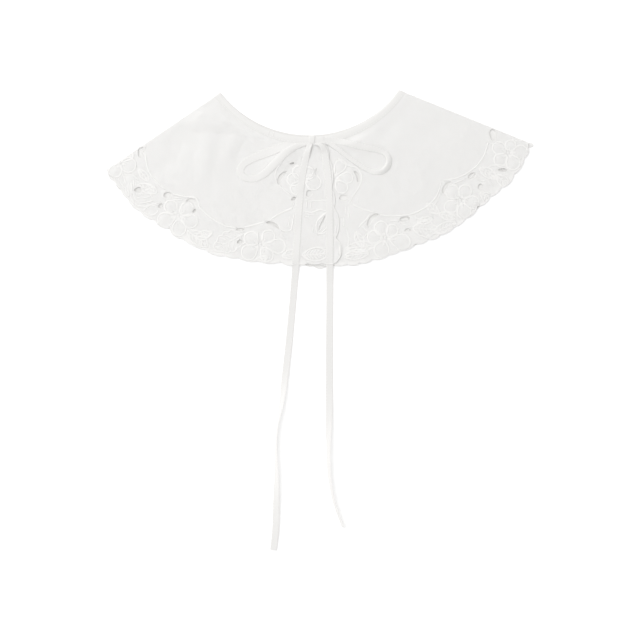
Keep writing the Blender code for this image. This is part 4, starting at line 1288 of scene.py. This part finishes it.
def embroider(name, panel):
    """All the raised lines of a panel: hole rims, the worked edge, borders, flowers and leaves."""
    settings = bpy.context.scene.collar_embroidery
    finish = shared("satin_thread", satin_thread, settings.thread_and_highlight_colour)
    relief, spread = settings.line_height, settings.line_width
    strokes = []
    for flower in panel.flowers:
        strokes.extend(flower_strokes(*flower))
    for leaf in panel.leaves:
        strokes.extend(leaf_strokes(*leaf))
    for width, *line in panel.lines:
        kind = "border" if width > BORDER_WIDTH else "line"
        strokes.append((smooth_curve(np.reshape(line, (-1, 2)), 0.9), width, LINE_HEIGHT[kind]))
    strokes = [(points, width * spread, height * relief) for points, width, height in strokes]
    cords = clipped(panel, strokes)
    rim_width, edge_width = settings.rim_width / MM, settings.edge_width / MM
    for hole in panel.holes:
        cords.append((moved_in(hole, rim_width * RIM_INSET), rim_width, LINE_HEIGHT["rim"], EDGE_SECTION, True))
    edge = smooth_curve(hem_line(panel, edge_width * RIM_INSET), 0.8)
    cords.append((edge, edge_width, LINE_HEIGHT["rim"], EDGE_SECTION, False))
    base = bpy.context.scene.collar_cloth.thickness / MM / 2
    return thread_cords(name, cords, panel.place, base, finish)


# Making

# The stage, in metres
LOOKED_AT = (0.00024, -0.134, 0.0)
FLOOR_SIZE = 14.0
KEY_PLACE = (-1.65, 1.1, 1.85)
KEY_SIZE = 3.4

PANELS = {}
PANEL_PARTS = {
    # fold, underside, where it comes out from under the lap, wrinkles, flowers, leaves, lines, seed
    "front_left": (FOLD_LEFT, left_under, None, WRINKLES_LEFT, FLOWERS_LEFT, LEAVES_LEFT, LINES_LEFT, 11),
    "front_right": (FOLD_RIGHT, right_under, LAP_SHOWN, WRINKLES_RIGHT, FLOWERS_RIGHT, LEAVES_RIGHT, LINES_RIGHT, 37),
    "back": (None, None, None, (), FLOWERS_BACK, LEAVES_BACK, LINES_BACK, 53),
}
SHEETS = {
    # flat_width, flat_length, flat_area of the cloth, in metres
    "front_left": (0.223, 0.160, 0.0225),
    "front_right": (0.224, 0.164, 0.0234),
    "back": (0.406, 0.165, 0.0410),
}


def panel_of(side):
    """The front_left, front_right or back panel, read once from its solid."""
    if side not in PANELS:
        PANELS[side] = Panel(side + "_panel", *PANEL_PARTS[side])
    return PANELS[side]


class COLLAR_OT_stage(bpy.types.Operator):
    """Adds the plain surface, the soft studio light and the camera that looks straight down"""

    bl_idname = "collar.stage"
    bl_label = "Stage"

    def execute(self, context):
        settings = context.scene.collar_stage
        bpy.ops.mesh.primitive_plane_add(size=FLOOR_SIZE, location=LOOKED_AT)
        floor = context.object
        floor.name = "floor"
        bpy.ops.object.transform_apply(location=True)
        floor.data.materials.append(pale_floor(tuple(settings.floor_colour), settings.floor_glow))
        bpy.ops.object.light_add(type="AREA", location=KEY_PLACE)
        key = context.object
        key.name = "key_light"
        key.data.shape = "DISK"
        key.data.size = KEY_SIZE
        key.data.energy = settings.key_power
        aim = Vector(LOOKED_AT) - key.location
        key.rotation_euler = aim.to_track_quat("-Z", "Y").to_euler()
        world = bpy.data.worlds.new("studio")
        world.use_nodes = True
        background = world.node_tree.nodes["Background"]
        background.inputs["Color"].default_value = (1.0, 1.0, 1.0, 1.0)
        background.inputs["Strength"].default_value = settings.fill_strength
        context.scene.world = world
        context.scene.view_settings.view_transform = "Standard"
        bpy.ops.object.camera_add(location=(*LOOKED_AT[:2], settings.camera_height), rotation=(0, 0, 0))
        camera = context.object
        camera.name = "camera"
        camera.data.lens = settings.lens
        camera.data.sensor_width = 36.0
        context.scene.camera = camera
        return {"FINISHED"}


# Places across a tape, from its right edge to its left one, where the cloth under it is felt
BEDS = np.array([-1.0, -0.5, 0.0, 0.5, 1.0])


def tape_stations(rows, thickness):
    """Where a tape runs: centres, the ways along, across and up from its face, its widths and arches, and the
    cloth's height under five places across it, against the middle one."""
    x, y, lift, lean_deg, width, arch = smooth_curve(rows, TAPE_STEP).T
    lean = np.radians(lean_deg)
    ahead = normed(np.gradient(np.stack([x, y], axis=-1), axis=0))
    left = np.column_stack([left_of(ahead), 0 * x])
    reach = BEDS * (width * np.cos(lean) / 2)[:, None]
    under = resting(x[:, None] + left[:, :1] * reach, y[:, None] + left[:, 1:2] * reach)
    padded = np.vstack([under[:1], under[:1], under, under[-1:], under[-1:]])
    under = sum(padded[i : i + len(x)] * share for i, share in enumerate((0.1, 0.2, 0.4, 0.2, 0.1)))
    half_height = np.abs(np.sin(lean)) * width / 2 + np.cos(lean) * thickness / 2
    centres = np.stack([x, y, under[:, 2] + half_height + lift], axis=-1)
    along = normed(np.gradient(centres, axis=0))
    up = np.cross(along, left)
    across = left * np.cos(lean)[:, None] + up * np.sin(lean)[:, None]
    return centres, along, across, np.cross(along, across), width, arch, under - under[:, 2:3]


def draped(points, side, bed, arch):
    """Points of a tape, side being -1 to 1 across it, laid onto the cloth under it and bowed up by its arch."""
    crest = (1.0 + side * np.sign(arch)) / 2
    height = np.interp(side, BEDS, bed) + abs(arch) * np.sin(math.pi * np.clip(crest, 0.0, 1.0) ** 0.6)
    return points + height[:, None] * np.array([0.0, 0.0, 1.0])


def tape_section(width, thickness):
    """A flat tape's section: soft edges, and a shallow groove where each row of stitching pulls it down."""
    half, top = width / 2, thickness / 2
    upper = (
        (half, 0.0), (half - 0.18, 0.75 * top), (half - 0.6, 1.05 * top), (half - 1.0, 0.62 * top),
        (half - 1.45, 1.0 * top), (half * 0.4, 0.9 * top), (half * 0.14, 0.9 * top),
    )
    across = [(v, h) for v, h in upper] + [(-v, h) for v, h in upper[::-1]]
    return np.array(across + [(v, -h) for v, h in across[::-1] if h > 0])


def make_tape(name, rows, node):
    """One tape of the bow with its stitching."""
    settings = bpy.context.scene.collar_ties
    thickness = settings.thickness / MM
    finish = shared("tape_cotton", tape_cotton, settings.tape_colour)
    centres, along, across, up, width, arch, beds = tape_stations(rows, thickness)
    rings = []
    for centre, side, face, wide, bow, bed in zip(centres, across, up, width, arch, beds):
        section = tape_section(wide, thickness)
        ring = centre + section[:, :1] * side + section[:, 1:] * face
        rings.append(draped(ring, section[:, 0] * 2 / wide, bed, bow))
    piece = tube(name, rings, finish)
    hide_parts(node)
    run = run_of(centres)
    length, pitch = settings.stitch_length / MM, (settings.stitch_length + settings.stitch_gap) / MM
    places = np.arange(pitch, run[-1] - pitch, pitch)
    middle, ahead, side, face, bed = (read_at(places, run, values) for values in (centres, along, across, up, beds))
    wide, bow = np.interp(places, run, width), np.interp(places, run, arch)
    spots, faces = [], []
    for edge in (1, -1):
        share = edge * (1.0 - 2.0 * STITCH_IN / wide)
        for over in (1, -1):
            row = middle + side * edge * (wide / 2 - STITCH_IN)[:, None] + face * over * thickness * 0.36
            spots.extend(draped(row[i : i + 1], share[i : i + 1], bed[i], bow[i]) for i in range(len(row)))
            faces.append(face * over)
    stitches = stitch_dashes(
        name + "_stitches", np.vstack(spots), np.vstack([ahead] * 4), np.vstack([side] * 4), np.vstack(faces),
        length, STITCH_WIDTH, STITCH_HEIGHT, thread_of(),
    )


class COLLAR_OT_ties(bpy.types.Operator):
    """Makes the two loops and the two long tails of the bow"""

    bl_idname = "collar.ties"
    bl_label = "Loops and tails"

    def execute(self, context):
        make_tape("tape_tail_left", TAIL_LEFT, "tie_tail_left")
        make_tape("tape_tail_right", TAIL_RIGHT, "tie_tail_right")
        make_tape("tape_loop_left", LOOP_LEFT, "tie_loop_left")
        make_tape("tape_loop_right", LOOP_RIGHT, "tie_loop_right")
        return {"FINISHED"}


def squared(value, power):
    """A cosine or sine that makes a round a little square."""
    return np.sign(value) * np.abs(value) ** power


class COLLAR_OT_knot(bpy.types.Operator):
    """Makes the bow's knot: the gathered tapes, and the tape that is wrapped over them"""

    bl_idname = "collar.knot"
    bl_label = "Knot"

    def execute(self, context):
        settings = context.scene.collar_ties
        finish = shared("tape_cotton", tape_cotton, settings.tape_colour)
        middle = np.array([*KNOT_CENTRE, resting(*np.array(KNOT_CENTRE)[:, None])[0] + KNOT_MIDDLE])
        angle = np.linspace(0, 2 * math.pi, KNOT_CORE_SIDES, endpoint=False)
        pleats = 1.0 + 0.05 * np.cos(6 * angle + 0.7) + 0.02 * np.cos(11 * angle)
        rings = []
        for along, depth, height in smooth_curve(KNOT_CORE, 0.5):
            across = squared(np.cos(angle), 0.7) * depth * pleats + 0.12 * along
            up = squared(np.sin(angle), 0.7) * height * pleats
            rings.append(middle + np.stack([0 * angle + along, across, up], axis=-1))
        core = tube("knot_gather", rings, finish)
        section = tape_section(KNOT_WRAP["width"], settings.thickness / MM)
        depth, height = KNOT_WRAP["half_depth"], KNOT_WRAP["half_height"]
        rings = []
        for turn in np.linspace(0, 2 * math.pi, KNOT_WRAP_RINGS, endpoint=False):
            cosine, sine = math.cos(turn), math.sin(turn)
            place = middle + np.array([0.35 * cosine, depth * squared(cosine, 0.6), height * squared(sine, 0.6)])
            out = normed(np.array([[0.0, cosine * height, sine * depth]]))
            across = np.outer(section[:, 0] * (1.0 + 0.06 * math.sin(2 * turn + 0.5)), [1.0, 0.1, 0.0])
            rings.append(place + across + section[:, 1:] * out)
        wrap = tube("knot_wrap", rings, finish, closed=True)
        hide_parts("tie_knot")
        return {"FINISHED"}


class COLLAR_OT_cloth(bpy.types.Operator):
    """Makes the collar's cloth: the back, and the two fronts that turn round the shoulder folds onto it"""

    bl_idname = "collar.cloth"
    bl_label = "Cloth"

    def execute(self, context):
        settings = context.scene.collar_cloth
        finish = shared("cotton_lawn", cotton_lawn, settings.cloth_colour)
        for side in SHEETS:
            step = (settings.back_grid if side == "back" else settings.grid) / MM
            piece = cloth_shell("cloth_" + side, panel_of(side), step, settings.thickness / MM, finish)
            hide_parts(side + "_panel")
        return {"FINISHED"}


def binding_section(half):
    """A folded binding with the cloth's edge in its slot: from the neck edge at 0 to its stitched edge."""
    over = BINDING_WIDTH + 0.7
    upper = (
        (over, 0.5), (over - 0.4, 0.8), (over - 0.8, 0.92), (over - 1.55, 0.7), (over - 2.2, 0.98),
        (3.0, 1.04), (1.1, 0.9), (0.35, 0.6),
    )
    top = [(v, h * half) for v, h in upper]
    slot = [(over, -0.4 * half), (BINDING_WIDTH - 0.1, -0.4 * half)]
    slot += [(BINDING_WIDTH - 0.1, 0.4 * half), (over, 0.4 * half)]
    return np.array(top + [(0.0, 0.0)] + [(v, -h) for v, h in top[::-1]] + slot)


def neck_edge_depth(fold, circle, angles):
    """How far points of a neck edge lie inside a shoulder fold."""
    return fold_depth(fold, *on_circle(circle, 0.0, angles).T)


def binding_angles(side):
    """Start and end of a stretch of binding, by its angles round the neck."""
    if side == "back":
        ends = []
        for fold, towards in ((FOLD_LEFT, -1), (FOLD_RIGHT, 1)):
            sweep = towards * np.arange(30.0, 75.0, 0.02)
            ends.append(sweep[np.argmax(neck_edge_depth(fold, BACK_NECK, sweep) < BACK_INSET)])
        return ends
    return (-75.0, LAP_END_DEG) if side == "front_left" else (-LAP_END_DEG, 75.0)


def make_binding(side):
    """The binding of one stretch of the neck, swept along it and round the shoulder fold with the cloth."""
    settings = bpy.context.scene.collar_binding
    finish = shared("binding_cotton", binding_cotton, settings.binding_colour)
    panel = panel_of(side)
    steps = [math.degrees(step / panel.neck["radius"]) for step in (BINDING_STEP, ROLL_ROW)]
    angles, fine = (np.arange(*binding_angles(side), step) for step in steps)
    if panel.fold:
        turning = ROLL_START + 1.0
        angles = angles[neck_edge_depth(panel.fold, panel.neck, angles) >= turning]
        fine = fine[neck_edge_depth(panel.fold, panel.neck, fine) < turning]
        angles = np.sort(np.concatenate([angles, fine]))
        angles = angles[neck_edge_depth(panel.fold, panel.neck, angles) > ROLL_START - ROLL_REACH]
    section = binding_section(settings.half_thickness / MM)
    rings = np.stack([np.column_stack([on_circle(panel.neck, v, angles), 0 * angles + h]) for v, h in section], axis=1)
    piece = tube("binding_" + side, panel.place(*rings.reshape(-1, 3).T).reshape(rings.shape), finish, 70.0)
    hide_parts({"front_left": "neck_binding_left", "front_right": "neck_binding_right"}.get(
        side, "neck_binding_back"
    ))


class COLLAR_OT_binding(bpy.types.Operator):
    """Makes the narrow binding round the neck, in its three stretches"""

    bl_idname = "collar.binding"
    bl_label = "Neck binding"

    def execute(self, context):
        for side in SHEETS:
            make_binding(side)
        return {"FINISHED"}


class COLLAR_OT_embroidery(bpy.types.Operator):
    """Works the hem, the cut holes, the borders, flowers and leaves in raised thread"""

    bl_idname = "collar.embroidery"
    bl_label = "Embroidery"

    def execute(self, context):
        for side in SHEETS:
            piece = embroider("embroidery_" + side, panel_of(side))
        return {"FINISHED"}


def binding_stitches(side):
    """The row of machine stitches along the binding's outer edge, on its face and underneath."""
    settings = bpy.context.scene.collar_binding
    panel = panel_of(side)
    start, end = binding_angles(side)
    row = BINDING_WIDTH - BINDING_STITCH_IN
    pitch = (settings.stitch_length + settings.stitch_gap) / MM
    angles = np.arange(start, end, math.degrees(pitch / (panel.neck["radius"] + row)))[1:-1]
    spots = on_circle(panel.neck, row, angles)
    if panel.fold:
        keep = fold_depth(panel.fold, *spots.T) > ROLL_START + 1.2
        angles, spots = angles[keep], spots[keep]
    slope = np.radians(angles)
    ahead = np.stack([np.cos(slope), np.sin(slope)], axis=-1)
    across = np.column_stack([-left_of(ahead), 0 * slope])
    rows = []
    for over in (1, -1):
        height = np.full(len(spots), over * settings.half_thickness / MM * 0.84)
        here = panel.place(*spots.T, height)
        ways = normed(panel.place(*(spots + ahead).T, height) - here)
        faces = np.cross(ways, across)
        rows.append((here, ways, across, faces * over * np.sign(faces[:, 2:3])))
    return stitch_dashes(
        f"binding_{side}_stitches", *map(np.vstack, zip(*rows)), settings.stitch_length / MM, STITCH_WIDTH,
        BINDING_STITCH_HEIGHT, thread_of(),
    )


def bar_tack():
    """Two short close rows of thread across the left stretch of the binding, where the tie is caught in."""
    panel = panel_of("front_left")
    angles = np.repeat(BAR_TACK_DEG, len(BAR_TACK_DEPTHS))
    spots = on_circle(panel.neck, np.tile(BAR_TACK_DEPTHS, len(BAR_TACK_DEG)), angles)
    slope = np.radians(angles)
    down = np.stack([np.sin(slope), -np.cos(slope)], axis=-1)
    height = np.full(len(spots), bpy.context.scene.collar_binding.half_thickness / MM)
    here = panel.place(*spots.T, height)
    ahead = normed(panel.place(*(spots + down).T, height) - here)
    across = normed(np.column_stack([left_of(ahead), 0 * slope]))
    return stitch_dashes(
        "binding_bar_tack", here, ahead, across, np.cross(ahead, across), **BAR_TACK, finish=thread_of()
    )


class COLLAR_OT_stitching(bpy.types.Operator):
    bl_idname = "collar.stitching"
    bl_label = "Stitching"

    def execute(self, context):
        tack = bar_tack()
        for side, (width, length, area) in SHEETS.items():
            stitches = binding_stitches(side)
            on_it = [bpy.data.objects[kind + side] for kind in ("binding_", "embroidery_")]
            if side == "front_left":
                on_it.append(tack)
        return {"FINISHED"}


class COLLAR_PT_panel(bpy.types.Panel):
    """Lists the collar's pieces, in the order of making, with their sizes and colours"""

    bl_idname = "COLLAR_PT_panel"
    bl_label = "False Collar"
    bl_space_type = "VIEW_3D"
    bl_region_type = "UI"
    bl_category = "Collar"

    def draw(self, context):
        for operator, group in STEPS:
            box = self.layout.box()
            box.operator(operator.bl_idname)
            if group:
                settings = getattr(context.scene, group)
                for name in settings.__annotations__:
                    box.prop(settings, name)


STEPS = (
    (COLLAR_OT_stage, "collar_stage"),
    (COLLAR_OT_ties, "collar_ties"),
    (COLLAR_OT_knot, None),
    (COLLAR_OT_cloth, "collar_cloth"),
    (COLLAR_OT_binding, "collar_binding"),
    (COLLAR_OT_embroidery, "collar_embroidery"),
    (COLLAR_OT_stitching, None),
)
GROUPS = {
    "collar_stage": CollarStageSettings,
    "collar_ties": CollarTieSettings,
    "collar_cloth": CollarClothSettings,
    "collar_binding": CollarBindingSettings,
    "collar_embroidery": CollarEmbroiderySettings,
}


def register():
    for name, group in GROUPS.items():
        bpy.utils.register_class(group)
        setattr(bpy.types.Scene, name, bpy.props.PointerProperty(type=group))
    for operator, _ in STEPS:
        bpy.utils.register_class(operator)
    bpy.utils.register_class(COLLAR_PT_panel)


def unregister():
    bpy.utils.unregister_class(COLLAR_PT_panel)
    for operator, _ in reversed(STEPS):
        bpy.utils.unregister_class(operator)
    for name, group in reversed(GROUPS.items()):
        delattr(bpy.types.Scene, name)
        bpy.utils.unregister_class(group)


def main():
    register()
    bpy.ops.object.select_all(action="DESELECT")
    bpy.ops.collar.stage()
    bpy.ops.collar.ties()
    bpy.ops.collar.knot()
    bpy.ops.collar.cloth()
    bpy.ops.collar.binding()
    bpy.ops.collar.embroidery()
    bpy.ops.collar.stitching()
    bpy.context.view_layer.update()


if __name__ == "__main__":
    main()
